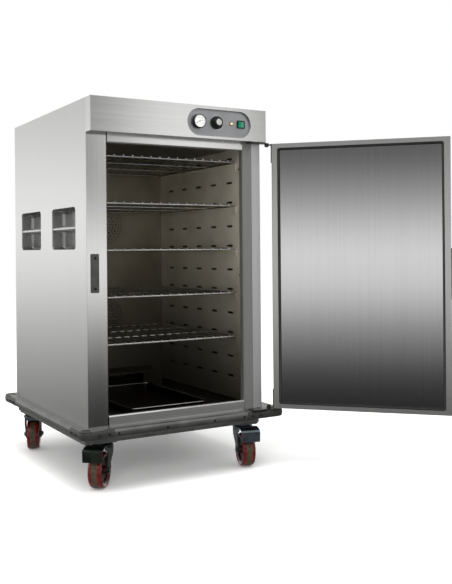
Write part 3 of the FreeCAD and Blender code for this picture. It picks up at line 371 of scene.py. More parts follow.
tread_rubber = polyurethane()
print("tread", tread_rubber.name)

# %% [markdown]
# ## Finishes for the CAD nodes
#
# Most of the cabinet is folded sheet that CAD draws exactly, so those nodes stay. Each takes a finish by
# what it is made of, and sheets by the way their grain runs.

# %% Give each node its finish
finishes = {
    side_steel: ["left_side_panel", "right_side_panel", "rear_panel", "door_outer_skin"],
    header_steel: ["top_panel", "header_fascia", "top_rail", "front_sill"],
    stile_steel: ["left_stile"],
    dull_stile_steel: ["right_stile"],
    post_steel: ["hinge_post"],
    door_steel: ["door_inner_panel"],
    wool: ["cabinet_insulation", "door_insulation"],
    liner_steel: ["inner_liner"],
    baffle_steel: ["rear_baffle"],
    duct_steel: ["duct_panels", "shelf_runners"],
    tray_steel: ["handle_pockets"],
    pan_steel: ["water_pan"],
    wire_steel: ["handle_bars"],
    buffer_metal: ["bumper_rails"],
    corner_grey_and_shade: ["bumper_corners"],
    base_metal: ["base_frame"],
    hinge_metal: ["hinge_brackets", "door_hinge_leaves"],
    motor_metal: ["fan_motors", "fan_impeller_upper", "fan_impeller_lower"],
    sheath_metal: ["heating_element"],
    dish_metal: ["control_plate"],
    zinc: ["caster_plates", "fork_front_right", "brake_pedal_front_right", "fork_rear_left",
           "fork_rear_right"],
    green_zinc: ["fork_front_left", "brake_pedal_front_left"],
    black_plastic: ["power_inlet", "thermometer_case", "thermostat_body", "switch_housing"],
    black_coat: ["latch_housing", "latch_lever"],
    strike_grey: ["strike_plate"],
    printed_ink: ["thermometer_needle"],
    clear_glass: ["thermometer_lens"],
    amber: ["pilot_lamp"],
    rocker_green: ["switch_rocker"],
    seal_black_and_shadow: ["door_gasket"],
}
for finish, names in finishes.items():
    for name in names:
        surface = nodes[name].data.materials
        surface.clear()
        surface.append(finish)
print("finished nodes", sum(len(names) for names in finishes.values()))

# %% [markdown]
# Real folds are never sharp: a bevel of half a millimetre on the edges catches the light along them, which
# is what makes sheet metal look like sheet metal.

# %% Soften the folds
FOLD_EDGE = 0.5 * MM
folded = ["left_side_panel", "right_side_panel", "rear_panel", "top_panel", "header_fascia", "left_stile",
          "right_stile", "hinge_post", "top_rail", "front_sill", "door_outer_skin", "hinge_brackets",
          "door_hinge_leaves", "strike_plate", "base_frame"]


for name in folded:
    bevel = nodes[name].modifiers.new("soft_edges", "BEVEL")
    bevel.width = FOLD_EDGE
    bevel.segments = 2
    bevel.limit_method = "ANGLE"
    bevel.angle_limit = math.radians(40)
print("softened", len(folded))

# %% [markdown]
# ## Making pieces
#
# New pieces come from a few ways of making mesh: a profile turned about an axis, as on a lathe, a section
# swept along a path, and curves with a round section for bent wire. Each finished piece is given a
# material, rides on a body, and hides the CAD nodes it stands for.


# %% Ways of making mesh
def finish_piece(obj, finish, body, slot, *stands_for, smooth=35):
    """Give a piece its material, smooth its round faces, and join it to its body."""
    obj.data.materials.append(finish)
    if obj.type == "MESH":
        for face in obj.data.polygons:
            face.use_smooth = True
        for edge in sharp_edges(obj.data, smooth):
            edge.use_edge_sharp = True
    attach(obj, body)
    if stands_for:
        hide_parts(*stands_for)
    return obj


def sharp_edges(mesh, degrees):
    """Edges whose faces meet at more than an angle."""
    normals = {}
    for face in mesh.polygons:
        for key in face.edge_keys:
            normals.setdefault(key, []).append(face.normal)
    for edge in mesh.edges:
        pair = normals.get(tuple(sorted(edge.vertices)), [])
        if len(pair) == 2 and pair[0].angle(pair[1], 0) > math.radians(degrees):
            yield edge


def new_object(name, data):
    """An object in the scene's own collection."""
    obj = bpy.data.objects.new(name, data)
    bpy.context.scene.collection.objects.link(obj)
    return obj


def mesh_object(name, mesh_data, place=None):
    """Turn a bmesh into an object at a place."""
    bmesh.ops.recalc_face_normals(mesh_data, faces=mesh_data.faces)
    mesh = bpy.data.meshes.new(name)
    mesh_data.to_mesh(mesh)
    mesh_data.free()
    obj = new_object(name, mesh)
    if place is not None:
        obj.matrix_world = place
    bpy.context.view_layer.update()
    return obj


def turn_profile(shape, profile, steps=48, place=Matrix()):
    """Turn (radius, height) points, in mm, about the Z axis; a zero radius closes an end."""
    rings = []
    for radius, height in profile:
        count = 1 if radius == 0 else steps
        ring = []
        for step in range(count):
            turn = 2 * math.pi * step / count
            point = Vector((radius * math.cos(turn), radius * math.sin(turn), height)) * MM
            ring.append(shape.verts.new(place @ point))
        rings.append(ring)
    for low, high in zip(rings, rings[1:]):
        for step in range(steps):
            a, b = low[step % len(low)], low[(step + 1) % len(low)]
            c, d = high[(step + 1) % len(high)], high[step % len(high)]
            corners = [a, b, c, d]
            unique = [v for i, v in enumerate(corners) if v not in corners[:i]]
            if len(unique) > 2:
                shape.faces.new(unique)
    return rings


def turned(name, profile, place, steps=48):
    """A turned piece whose own axis is Z, put in place."""
    shape = bmesh.new()
    turn_profile(shape, profile, steps)
    return mesh_object(name, shape, place)


def bridge(shape, here, after):
    """Join two rings of as many points with a band of four-sided faces."""
    for i in range(len(here)):
        j = (i + 1) % len(here)
        shape.faces.new((here[i], here[j], after[j], after[i]))


def facing(direction, point):
    """Placement at a point with its Z axis along a direction."""
    return Matrix.Translation(point) @ direction.to_track_quat("Z", "Y").to_matrix().to_4x4()


AHEAD = Vector((0, -1, 0))
print("ways of making mesh ready")

# %% [markdown]
# ## Casters
#
# A caster wheel is a tread poured over a core, turning on a bushed axle. Both are round about the axle, so
# both are turned. The tread has full shoulders and a slightly crowned face, and it is its own piece
# because its finish is its own. The core is dished on both sides.

# %% Wheels
WHEEL_RADIUS = 62.5
RIM = 46.0
AXLE_HOLE = 6.2

tread_half = [(WHEEL_RADIUS, 0), (62.3, 9), (62.0, 14), (61.3, 18), (59.6, 21.5), (57, 24), (54.5, 24.4),
              (51, 22.5), (RIM, 20.5)]
tread_profile = [(r, -h) for r, h in tread_half[::-1]] + tread_half[1:] + [(RIM, -20.5)]
core_half = [(45.9, 0), (45.6, 20), (39.5, 19.5), (38, 14), (34, 12), (17, 12.5), (13.8, 15), (13.4, 25),
             (12.8, 27.2), (9, 27.4), (AXLE_HOLE, 27)]
core_profile = [(r, -h) for r, h in core_half[::-1]] + core_half[1:] + [(AXLE_HOLE, -27)]
core_plastic = moulded("red_brown_core", "#3a1611", "#240c08", 0.4, 1.0)
casters = ["front_left", "front_right", "rear_left", "rear_right"]
axles = {}
for corner in casters:
    roll = joints["roll_" + corner]
    axle, centre = Vector(roll["axis"]), Vector(roll["pos_m"])
    place = facing(axle, centre)
    axles[corner] = (centre, axle)
    tread = turned("tread_" + corner, tread_profile, place, 72)
    finish_piece(tread, tread_rubber, "wheel_" + corner, "red_tread", "wheel_" + corner)
    core = turned("core_" + corner, core_profile, place)
    finish_piece(core, core_plastic, "wheel_" + corner, "red_tread", smooth=30)
print("wheels", {corner: tuple(round(v, 3) for v in axles[corner][0]) for corner in casters})

# %% [markdown]
# The axle is a bolt through both legs. Its ends carry domed nuts with a washer face, which stand out as two
# bright buttons low on every fork. A nut is a six-sided block with a turned dome on it.

# %% Domed nuts
FORK_OUTSIDE = 32.0


def domed_nut(shape, place):
    """Washer, hexagon and dome, standing on the XY plane."""
    turn_profile(shape, [(0, 0), (10.5, 0), (10.5, 1.2), (0, 1.2)], 32, place)
    turn_profile(shape, [(0, 1.2), (9.2, 1.2), (9.2, 4), (8.2, 4.6), (0, 4.6)], 6, place)
    dome = [(0, 4.2), (7.4, 4.2)] + [(7.4 * math.cos(t), 4.6 + 3.2 * math.sin(t))
                                     for t in (0.2, 0.6, 1.0, 1.3)] + [(0, 7.9)]
    turn_profile(shape, dome, 32, place)


for corner, (centre, axle) in axles.items():
    shape = bmesh.new()
    for side in (-1, 1):
        domed_nut(shape, facing(axle * side, centre + axle * side * FORK_OUTSIDE * MM))
    finish_piece(mesh_object("axle_nuts_" + corner, shape), zinc, "swivel_" + corner, "zinc_plate")
print("nuts", 2 * len(axles))

# %% [markdown]
# ## Wire shelves
#
# Each shelf is bent and welded from rod. Wire is what Blender's curves are for: a path with a round
# section, which is turned into mesh once it is drawn.


# %% Bent wire
def wire_object(name, closed, straight, radius):
    """One curve object: closed paths and straight ones as (points in mm, thickness factor)."""
    curve = bpy.data.curves.new(name, "CURVE")
    curve.dimensions = "3D"
    curve.bevel_depth = radius * MM
    curve.bevel_resolution = 3
    curve.use_fill_caps = True
    for loop, paths in ((True, closed), (False, straight)):
        for points, thickness in paths:
            spline = curve.splines.new("POLY")
            spline.points.add(len(points) - 1)
            for point, place in zip(spline.points, points):
                point.co = (*at(*place), 1)
                point.radius = thickness
            spline.use_cyclic_u = loop
    return new_object(name, curve)


def round_loop(x0, x1, y0, y1, z, radius, steps=6):
    """Corner-rounded rectangle as a list of points."""
    loop = []
    for cx, cy, start in ((x1 - radius, y1 - radius, 0), (x0 + radius, y1 - radius, 90),
                          (x0 + radius, y0 + radius, 180), (x1 - radius, y0 + radius, 270)):
        for step in range(steps + 1):
            turn = math.radians(start + 90 * step / steps)
            loop.append((cx + radius * math.cos(turn), cy + radius * math.sin(turn), z))
    return loop


def as_mesh(obj):
    """Turn a curve object into a mesh object of the same name."""
    mesh = bpy.data.meshes.new_from_object(obj.evaluated_get(bpy.context.evaluated_depsgraph_get()))
    name, curve = obj.name, obj.data
    bpy.data.objects.remove(obj)
    bpy.data.curves.remove(curve)
    mesh.materials.clear()
    new = new_object(name, mesh)
    bpy.context.view_layer.update()
    return new


# %% [markdown]
# The frame is a heavy rod with rounded corners. Two rods cross it, and thin wires run from front to back
# over them, with cut ends that stand a little past the front rod. A shelf is one object.

# %% Five shelves
ROD, CROSS_ROD, WIRE = 3.5, 3.0, 2.0     # radii, mm
WIRE_PITCH = 35.0
FRONT_END = 3.0                          # mm that the wires stand past the front rod


def local(point):
    """Back from a point in the frame to millimetres from the cabinet's front left corner."""
    return ((point.x - LEFT) / MM, (point.y - FRONT) / MM, point.z / MM)


for number in range(1, 6):
    node = "wire_shelf_%d" % number
    (x0, y0, z0), (x1, y1, z1) = (local(corner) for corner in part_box(node))
    level = z0 + ROD
    front, back = y0 + FRONT_END + ROD, y1 - ROD
    left, right = x0 + ROD, x1 - ROD
    top = level + ROD + WIRE - 0.8
    frame_loop = round_loop(left, right, front, back, level, 9)
    wires = int((right - left) / WIRE_PITCH)
    first = (left + right) / 2 - WIRE_PITCH * (wires - 1) / 2
    rods = [([(left, y, level + 0.4), (right, y, level + 0.4)], CROSS_ROD / ROD)
            for y in (front + (back - front) / 3, front + 2 * (back - front) / 3)]
    for index in range(wires):
        x = first + WIRE_PITCH * index
        rods.append(([(x, y0, top), (x, back + 2, top)], WIRE / ROD))
    shelf = as_mesh(wire_object("bent_" + node, [(frame_loop, 1.0)], rods, ROD))
    finish_piece(shelf, wire_steel, "shelf_%d" % number, "polished_rod", node, smooth=50)
print("shelves", 5, "wires each", wires)

# %% [markdown]
# ## Buffer corners
#
# At each corner a moulded cap wraps round the ends of two rails and is screwed to them. Its section is the
# rails' own, a little larger, so it is swept along the way round the corner: a straight, a quarter turn
# and a straight.

# %% Sweep a corner cap
BUFFER_LOW, BUFFER_HIGH = (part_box("bumper_corners")[k].z / MM for k in (0, 1))
CAP_ROUND = 28.0
CAP_LAP = 82.0
HEAD_ROOM = 1.95         # mm kept clear for the screw heads that stand on the caps


def cap_section(low, high, crown=12.0, thick=2.4, steps=5):
    """Closed section as (in from the outer face, height) points, outside first."""
    outside = [(crown - crown * math.sin(t), low + crown - crown * math.cos(t))
               for t in (math.pi / 2 * k / steps for k in range(steps + 1))]
    outside += [(crown - crown * math.cos(t), high - crown + crown * math.sin(t))
                for t in (math.pi / 2 * k / steps for k in range(steps + 1))]
    return outside + [(max(inset, thick), min(max(z, low + thick), high - thick))
                      for inset, z in outside[::-1]]


def corner_cap(shape, corner, outward, reach):
    """Sweep the cap's section round one corner of the cabinet."""
    centre = corner + Vector((outward.x * (reach.x - CAP_ROUND), outward.y * (reach.y - CAP_ROUND), 0))
    face_x, face_y = Vector((outward.x, 0, 0)), Vector((0, outward.y, 0))
    stations = [(Vector((corner.x - outward.x * CAP_LAP, centre.y, 0)), face_y)]
    for step in range(9):
        turn = math.pi / 2 * step / 8
        stations.append((centre, face_y * math.cos(turn) + face_x * math.sin(turn)))
    stations.append((Vector((centre.x, corner.y - outward.y * CAP_LAP, 0)), face_x))
    section = cap_section(BUFFER_LOW, BUFFER_HIGH)
    rings = []
    for point, normal in stations:
        ring = [point + normal * (CAP_ROUND - inset) + Vector((0, 0, z)) for inset, z in section]
        rings.append([shape.verts.new(at(*spot)) for spot in ring])
    for here, after in zip(rings, rings[1:]):
        bridge(shape, here, after)
    shape.faces.new(rings[0][::-1])
    shape.faces.new(rings[-1])
    fill_core(shape, corner, centre, face_x, face_y)


def fill_core(shape, corner, centre, face_x, face_y):
    """The solid middle of a corner block, between the cabinet's corner and the cap."""
    reach = CAP_ROUND - 2
    edge = [centre + (face_y * math.cos(t) + face_x * math.sin(t)) * reach
            for t in (math.pi / 2 * k / 8 for k in range(9))]
    plan = [corner, Vector((corner.x, edge[0].y, 0))] + edge + [Vector((edge[-1].x, corner.y, 0))]
    low = [shape.verts.new(at(p.x, p.y, BUFFER_LOW + 3)) for p in plan]
    high = [shape.verts.new(at(p.x, p.y, BUFFER_HIGH - 1.2)) for p in plan]
    shape.faces.new(low[::-1])
    shape.faces.new(high)
    bridge(shape, low, high)


print("cap section", len(cap_section(BUFFER_LOW, BUFFER_HIGH)), "points")

# %% [markdown]
# The four caps reach out as far as the CAD blocks that they stand for, less the height of a screw head.

# %% Four corner caps
room = Vector((HEAD_ROOM, HEAD_ROOM, 0))
buffer_low, buffer_high = (Vector((*local(point)[:2], 0)) + inward
                           for point, inward in zip(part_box("bumper_corners"), (room, -room)))
CABINET_WIDE, CABINET_DEEP = (RIGHT - LEFT) / MM, (BACK - FRONT) / MM
caps = bmesh.new()
for y, side_y, edge_y in ((0, -1, buffer_low.y), (CABINET_DEEP, 1, buffer_high.y)):
    for x, side_x, edge_x in ((0, -1, buffer_low.x), (CABINET_WIDE, 1, buffer_high.x)):
        reach = Vector((abs(edge_x - x), abs(edge_y - y), 0))
        corner_cap(caps, Vector((x, y, 0)), Vector((side_x, side_y, 0)), reach)
bmesh.ops.remove_doubles(caps, verts=caps.verts, dist=1e-6)
finish_piece(mesh_object("buffer_corner_caps", caps), corner_grey_and_shade, "cabinet", "corner_plastic",
             "bumper_corners")
print("buffer from", round(BUFFER_LOW, 1), "to", round(BUFFER_HIGH, 1), "mm")

# %% [markdown]
# The water pan's edge is rolled over a wire, so it ends in a bright bead that runs all round.

# %% Rolled pan edge
BEAD = 2.4
(px0, py0, _), (px1, py1, pz1) = (local(corner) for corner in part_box("water_pan"))
bead_loop = round_loop(px0 + BEAD, px1 - BEAD, py0 + BEAD, py1 - BEAD, pz1, 24)
bead = as_mesh(wire_object("pan_edge_bead", [(bead_loop, 1.0)], [], BEAD))
finish_piece(bead, wire_steel, "pan", "inner_steel", smooth=50)
print("pan edge", round(px1 - px0), "by", round(py1 - py0), "mm")

# %% [markdown]
# ## Screws
#
# Screws with low domed heads hold the caps, the rails, the ducts, the strike and the back, and larger ones
# the casters. They are small, but a bare sheet looks like cardboard. Each head has a socket, and all of
# them are one mesh.


# %% Screw heads
CAP_SCREW, BACK_SCREW, STRIKE_SCREW, DUCT_SCREW, PLATE_SCREW = 4.5, 3.5, 4.4, 3.2, 6.5   # head radii, mm
CAP_NEAR, CAP_FAR = 26, 63               # a cap's two screws, from the cabinet's corner
RAIL_ENDS, RAIL_INNER = 97, (280, 468)   # the front rail's screws
BACK_EDGE, BACK_ACROSS = 22, (180, 345, 510)
BACK_TOP, BACK_UP = 1312, (420, 640, 860, 1080)
DUCT_IN, DUCT_BACK = 71, 36              # the duct panels' screws, from the cabinet's side and front


def screw_head(shape, point, direction, r):
    """Low domed head of radius r with a socket, standing on a surface."""
    profile = [(0, -0.2), (r, -0.2), (r, 0.15 * r), (0.85 * r, 0.3 * r), (0.5 * r, 0.42 * r),
               (0.4 * r, 0.42 * r), (0.36 * r, 0.1 * r), (0, 0.1 * r)]
    turn_profile(shape, profile, 16, facing(direction, at(*point)))


BEHIND = Vector((0, 1, 0))
TO_LEFT, TO_RIGHT, DOWNWARD = Vector((-1, 0, 0)), Vector((1, 0, 0)), Vector((0, 0, -1))
middle_z = (BUFFER_LOW + BUFFER_HIGH) / 2
screws = []
for x in (CAP_NEAR, CAP_FAR, CABINET_WIDE - CAP_FAR, CABINET_WIDE - CAP_NEAR):
    screws.append(((x, buffer_low.y, middle_z), AHEAD, CAP_SCREW))
    screws.append(((x, buffer_high.y, middle_z), BEHIND, CAP_SCREW))
for x in (RAIL_ENDS, *RAIL_INNER, CABINET_WIDE - RAIL_ENDS):
    screws.append(((x, buffer_low.y + 1.0, middle_z), AHEAD, CAP_SCREW))
for y in (CAP_NEAR, CAP_FAR, CABINET_DEEP - CAP_FAR, CABINET_DEEP - CAP_NEAR):
    screws.append(((buffer_low.x, y, middle_z), TO_LEFT, CAP_SCREW))
    screws.append(((buffer_high.x, y, middle_z), TO_RIGHT, CAP_SCREW))
for x in (BACK_EDGE, *BACK_ACROSS, CABINET_WIDE - BACK_EDGE):
    screws += [((x, CABINET_DEEP, z), BEHIND, BACK_SCREW) for z in (BUFFER_HIGH + 15, BACK_TOP)]
for z in BACK_UP:
    screws += [((x, CABINET_DEEP, z), BEHIND, BACK_SCREW) for x in (BACK_EDGE, CABINET_WIDE - BACK_EDGE)]
screws += [((28.5, -5, z), AHEAD, STRIKE_SCREW) for z in (690, 793)]
for z in (325, 721, 1118):
    screws.append(((DUCT_IN, DUCT_BACK, z), TO_RIGHT, DUCT_SCREW))
    screws.append(((CABINET_WIDE - DUCT_IN, DUCT_BACK, z), TO_LEFT, DUCT_SCREW))
plate_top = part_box("caster_plates")[1].z / MM
for corner in casters:
    x, y, _ = local(Vector(joints["swivel_" + corner]["pos_m"]))
    screws += [((x + dx, y + dy, plate_top - 4), DOWNWARD, PLATE_SCREW)
               for dx in (-30, 30) for dy in (-38, 38)]
heads = bmesh.new()
for screw in screws:
    screw_head(heads, *screw)
finish_piece(mesh_object("screw_heads", heads), screw_metal, "cabinet", "hinge_steel")
print("screw heads", len(screws))

# %% [markdown]
# ## Hand pockets
#
# A hand pocket is a deep-drawn tray: straight walls that run into a flat floor through a large radius,
# because a sheet can't be drawn into a sharp corner. It is that radius that picks up a bright upright
# line inside the pocket. The tray is a stack of rounded outlines, thickened afterwards.

# %% Drawn trays
POCKET_FRONTS = [102.0, 471.0]
POCKET_LONG, POCKET_HIGH, POCKET_BOTTOM = 241.0, 148.0, 822.0
POCKET_CORNER, SHEET = 15.0, 0.8
tray_steps = [(0.2, 0.3), (0.7, 1.6), (1.1, 4.0), (1.6, 36.0), (2.4, 40.5), (4.6, 44.6), (8.2, 47.6),
              (13.0, 49.2), (20.0, 49.6)]
for side, x_skin, inward in (("left", 0.0, 1), ("right", CABINET_WIDE, -1)):
    trays = bmesh.new()
    for pocket_front in POCKET_FRONTS:
        rings = []
        for inset, deep in tray_steps:
            loop = round_loop(pocket_front + inset, pocket_front + POCKET_LONG - inset, POCKET_BOTTOM + inset,
                              POCKET_BOTTOM + POCKET_HIGH - inset, 0, max(POCKET_CORNER - inset * 0.4, 3))
            rings.append([trays.verts.new(at(x_skin + inward * deep, y, z)) for y, z, _ in loop])
        for here, after in zip(rings, rings[1:]):
            bridge(trays, here, after)
        trays.faces.new(rings[-1])
    name = "drawn_hand_pockets_" + side
    stands_for = ["handle_pockets"] if side == "left" else []
    tray = finish_piece(mesh_object(name, trays), tray_steel, "cabinet", "inner_steel", *stands_for)
    wall = tray.modifiers.new("sheet_thickness", "SOLIDIFY")
    wall.thickness = SHEET * MM
    wall.offset = 1.0
print("pockets", 2 * len(POCKET_FRONTS))

# %% [markdown]
# ## Door seal
#
# The seal lies in the corner between the door's border and its panel. It is drawn on the closed door and
# then swung open with it, so first comes where the door hangs and how far it stands open.

# %% Where the door stands
door_joint = joints["door_hinge"]
PIVOT = Vector(door_joint["pos_m"])
OPEN = math.radians(-door_joint["range_deg"][0])
swing = Matrix.Translation(PIVOT) @ Matrix.Rotation(OPEN, 4, "Z") @ Matrix.Translation(-PIVOT)
DOOR_LEFT, DOOR_RIGHT = 45.0, 690.0
DOOR_BOTTOM, DOOR_TOP = 226.0, 1210.0
PANEL_Y = -14.0
BORDER_SIDE, BORDER_END = 22.0, 16.0
print("door opened", round(math.degrees(OPEN), 1), "degrees")

# %% [markdown]
# The seal is an extruded silicone strip: a foot that lies on the panel, and a soft bulb that meets the
# frame. An extrusion is one section all the way round, so the section is swept along a rounded rectangle.


# %% Sweep the seal
def sweep_seal(section, corner_radius, steps=8):
    """Section of (in from the border, out from the panel) points, swept round the door's recess."""
    shape = bmesh.new()
    rings = []
    x0, x1 = DOOR_LEFT + BORDER_SIDE, DOOR_RIGHT - BORDER_SIDE
    z0, z1 = DOOR_BOTTOM + BORDER_END, DOOR_TOP - BORDER_END
    corners = [(x1, z1, -1, -1, 0), (x0, z1, 1, -1, 90), (x0, z0, 1, 1, 180), (x1, z0, -1, 1, 270)]
    for x, z, inward_x, inward_z, start in corners:
        cx, cz = x + inward_x * corner_radius, z + inward_z * corner_radius
        for step in range(steps + 1):
            turn = math.radians(start + 90 * step / steps)
            ring = []
            for inside, out in section:
                reach = corner_radius - inside
                px, pz = cx + reach * math.cos(turn), cz + reach * math.sin(turn)
                ring.append(shape.verts.new(swing @ at(px, PANEL_Y + out, pz)))
            rings.append(ring)
    for here, after in zip(rings, rings[1:] + rings[:1]):
        bridge(shape, here, after)
    bmesh.ops.remove_doubles(shape, verts=shape.verts, dist=1e-6)
    return mesh_object("extruded_door_seal", shape)


seal_section = [(0.2, 0.1), (8.4, 0.1), (8.4, 1.4), (5.4, 2.2), (5.0, 4.0), (5.3, 6.5), (5.0, 9.0),
                (4.3, 11.2), (3.0, 13.0), (1.6, 13.2), (0.6, 12.0), (0.2, 9.0)]
# Its black also stands as a painted shadow along the inner edge of the border.
seal = sweep_seal(seal_section, 10.0)
finish_piece(seal, seal_black_and_shadow, "door", "black_silicone", "door_gasket", smooth=40)
print("seal", len(seal.data.polygons), "faces")

# %% [markdown]
# ## Controls
#
# A dial thermometer, the thermostat's knob, a pilot lamp and a rocker switch sit in the pressed dish. The
# round ones are turned about axes that point straight out of it.

# %% Thermometer
GAUGE = middle("thermometer_case")
GAUGE_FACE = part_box("thermometer_case")[0].y
DISH_FLOOR = GAUGE_FACE + 15 * MM
gauge_place = facing(AHEAD, Vector((GAUGE.x, GAUGE_FACE, GAUGE.z)))
bezel_profile = [(21.0, -16), (24.6, -15), (25, -13), (25, -2.2), (24.4, -0.8), (23.4, 0), (22.4, -0.4),
                 (22.2, -1.4), (22.1, -4.1), (0, -4.1)]
bezel = turned("thermometer_bezel", bezel_profile, gauge_place, 64)
finish_piece(bezel, black_plastic, "cabinet", "black_plastic", "thermometer_case")
dial_profile = [(0, -4.0), (21.9, -4.0), (21.9, -3.6), (21.4, -3.5), (0, -3.5)]
dial = turned("thermometer_dial", dial_profile, gauge_place, 64)
finish_piece(dial, dial_enamel, "cabinet", "dial_white")
print("dial at", tuple(round(v, 4) for v in gauge_place.translation))

# %% [markdown]
# The scale is printed: a thin bar for every mark, a longer one at each number, and the numbers themselves.

# %% Printed scale
DIAL_START, DIAL_STEP = -120, 5          # degrees from straight up, clockwise
DIAL_MARKS, MARKS_PER_NUMBER = 49, 8


def dial_place(degrees, radius, height):
    """A spot on the dial: zero degrees is straight up, and turning is clockwise."""
    turn = math.radians(degrees)
    return gauge_place.translation + Vector((radius * MM * math.sin(turn), -height * MM,
                                             radius * MM * math.cos(turn)))


marks = bmesh.new()
for index in range(DIAL_MARKS):
    degrees = DIAL_START + index * DIAL_STEP
    long_mark = index % MARKS_PER_NUMBER == 0
    inner, outer, half = (15.6 if long_mark else 17.6), 19.4, (0.45 if long_mark else 0.2)
    spots = []
    for radius, side in ((inner, -1), (outer, -1), (outer, 1), (inner, 1)):
        centre = dial_place(degrees, radius, -3.42)
        turn = math.radians(degrees)
        spots.append(centre + Vector((math.cos(turn), 0, -math.sin(turn))) * side * half * MM)
    low = [marks.verts.new(spot + Vector((0, 0.06 * MM, 0))) for spot in spots]
    high = [marks.verts.new(spot) for spot in spots]
    marks.faces.new(high)
    marks.faces.new(low[::-1])
    bridge(marks, low, high)
finish_piece(mesh_object("thermometer_marks", marks), printed_ink, "cabinet", "black_plastic")
for index, number in enumerate(range(0, 140, 20)):
    text = bpy.data.curves.new("dial_number_%d" % number, "FONT")
    text.body = str(number)
    text.size = 4.4 * MM
    text.extrude = 0.02 * MM
    text.align_x, text.align_y = "CENTER", "CENTER"
    label = new_object("dial_number_%d" % number, text)
    degrees = DIAL_START + index * DIAL_STEP * MARKS_PER_NUMBER
    label.matrix_world = (Matrix.Translation(dial_place(degrees, 12.4, -3.47))
                          @ Matrix.Rotation(math.radians(90), 4, "X"))
    finish_piece(label, printed_ink, "cabinet", "black_plastic")
print("marks", DIAL_MARKS)

# %% [markdown]
# The thermostat's knob is a skirt, a fluted barrel with a metal cap, and a thin bright ring round its foot.

# %% Thermostat knob
knob_low, knob_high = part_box("thermostat_knob")
KNOB = middle("thermostat_knob")
knob_place = facing(AHEAD, Vector((KNOB.x, knob_high.y, KNOB.z)))
KNOB_TALL = (knob_high.y - knob_low.y) / MM
skirt_profile = [(3.2, 0), (23.2, 0), (24, 0.8), (24, 3.0), (23.2, 4.6), (21.6, 5.2), (20.4, 5.4), (3.2, 5.4)]
skirt = turned("knob_skirt", skirt_profile, knob_place, 64)
finish_piece(skirt, black_plastic, "knob", "black_plastic", "thermostat_knob")
barrel = bmesh.new()
flutes, per_flute = 24, 4
rings = []
for radius, height in ((20.2, 5.2), (19.6, 6.4), (18.2, 14.5), (17.4, 15.9), (15.8, 16.7), (12.2, 16.9)):
    ring = []
    for step in range(flutes * per_flute):
        turn = 2 * math.pi * step / (flutes * per_flute)
        depth = 0.7 * (0.5 - 0.5 * math.cos(turn * flutes)) if radius > 17 else 0
        ring.append(barrel.verts.new(Vector(((radius - depth) * math.cos(turn),
                                             (radius - depth) * math.sin(turn), height)) * MM))
    rings.append(ring)
for low, high in zip(rings, rings[1:]):
    bridge(barrel, low, high)
barrel.faces.new(rings[0][::-1])
barrel.faces.new(rings[-1])
barrel_piece = mesh_object("knob_barrel", barrel, knob_place)
finish_piece(barrel_piece, black_plastic, "knob", "black_plastic", smooth=30)
cap_profile = [(0, 17.0), (11.6, 17.0), (11.8, 18.4), (11.2, 19.2), (6.0, 19.35), (0, 19.3)]
cap = turned("knob_cap", cap_profile, knob_place)
finish_piece(cap, wire_steel, "knob", "polished_rod")
ring_profile = [(24.1, 0.1), (25.8, 0.1), (26.1, 0.5), (25.8, 1.0), (24.1, 1.0), (24.1, 0.1)]
ring_place = facing(AHEAD, Vector((KNOB.x, DISH_FLOOR, KNOB.z)))
index_ring = turned("knob_index_ring", ring_profile, ring_place, 64)
finish_piece(index_ring, wire_steel, "cabinet", "polished_rod")
print("knob height", round(KNOB_TALL, 2))

# %% [markdown]
# The dish is pressed into the header, and its rolled rim catches the light as one bright line.

# %% Rim of the dish
dish_low, dish_high = (local(corner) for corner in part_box("control_plate"))
RIM_WIRE = 0.9
end_radius = (dish_high[2] - dish_low[2]) / 2 - 0.1
outline = round_loop(dish_low[0], dish_high[0], dish_low[2], dish_high[2], 0, end_radius, 12)
rim_loop = [(x, dish_low[1] + 0.2, z) for x, z, _ in outline]
rim = as_mesh(wire_object("dish_rim", [(rim_loop, 1.0)], [], RIM_WIRE))
finish_piece(rim, wire_steel, "cabinet", "control_dish", smooth=50)
print("dish", round(dish_high[0] - dish_low[0]), "by", round(dish_high[2] - dish_low[2]), "mm")

# %% [markdown]
# The pilot lamp is an acrylic dome in a brown bezel.

# %% Pilot lamp
LAMP = middle("pilot_lamp")
lamp_place = facing(AHEAD, Vector((LAMP.x, DISH_FLOOR, LAMP.z)))
bezel_ring = [(5.0, 0.1), (7.3, 0.1), (7.5, 0.8), (7.1, 1.8), (6.3, 2.0), (5.6, 1.6), (5.0, 0.1)]
lamp_ring = turned("lamp_ring", bezel_ring, lamp_place, 40)
finish_piece(lamp_ring, lamp_brown, "cabinet", "black_plastic", "pilot_lamp")
dome_profile = [(5.7, 0.9), (5.6, 2.2), (5.2, 3.8), (4.4, 5.2), (3.2, 6.3), (1.7, 6.9), (0, 7.0)]
lamp_dome = turned("lamp_dome", dome_profile, lamp_place, 40)
finish_piece(lamp_dome, amber, "cabinet", "amber_lens")
print("lamp at", tuple(round(v, 4) for v in lamp_place.translation))

# %% [markdown]
# ## The stage
#
# Steel has no colour of its own to show: what is seen is the room. So a light tent is built for it: a
# bright band at eye height that fades to dark above and below, wide behind the object and narrow in front
# of it, with one round lamp on the right that the control header reflects. The camera itself sees plain
# white.

# %% The tent
world = bpy.data.worlds.new("light_tent")
bpy.context.scene.world = world
world.use_nodes = True
sky = world.node_tree
sky.nodes.clear()


def gray(level):
    """A neutral linear colour."""
    return (level, level, level, 1)


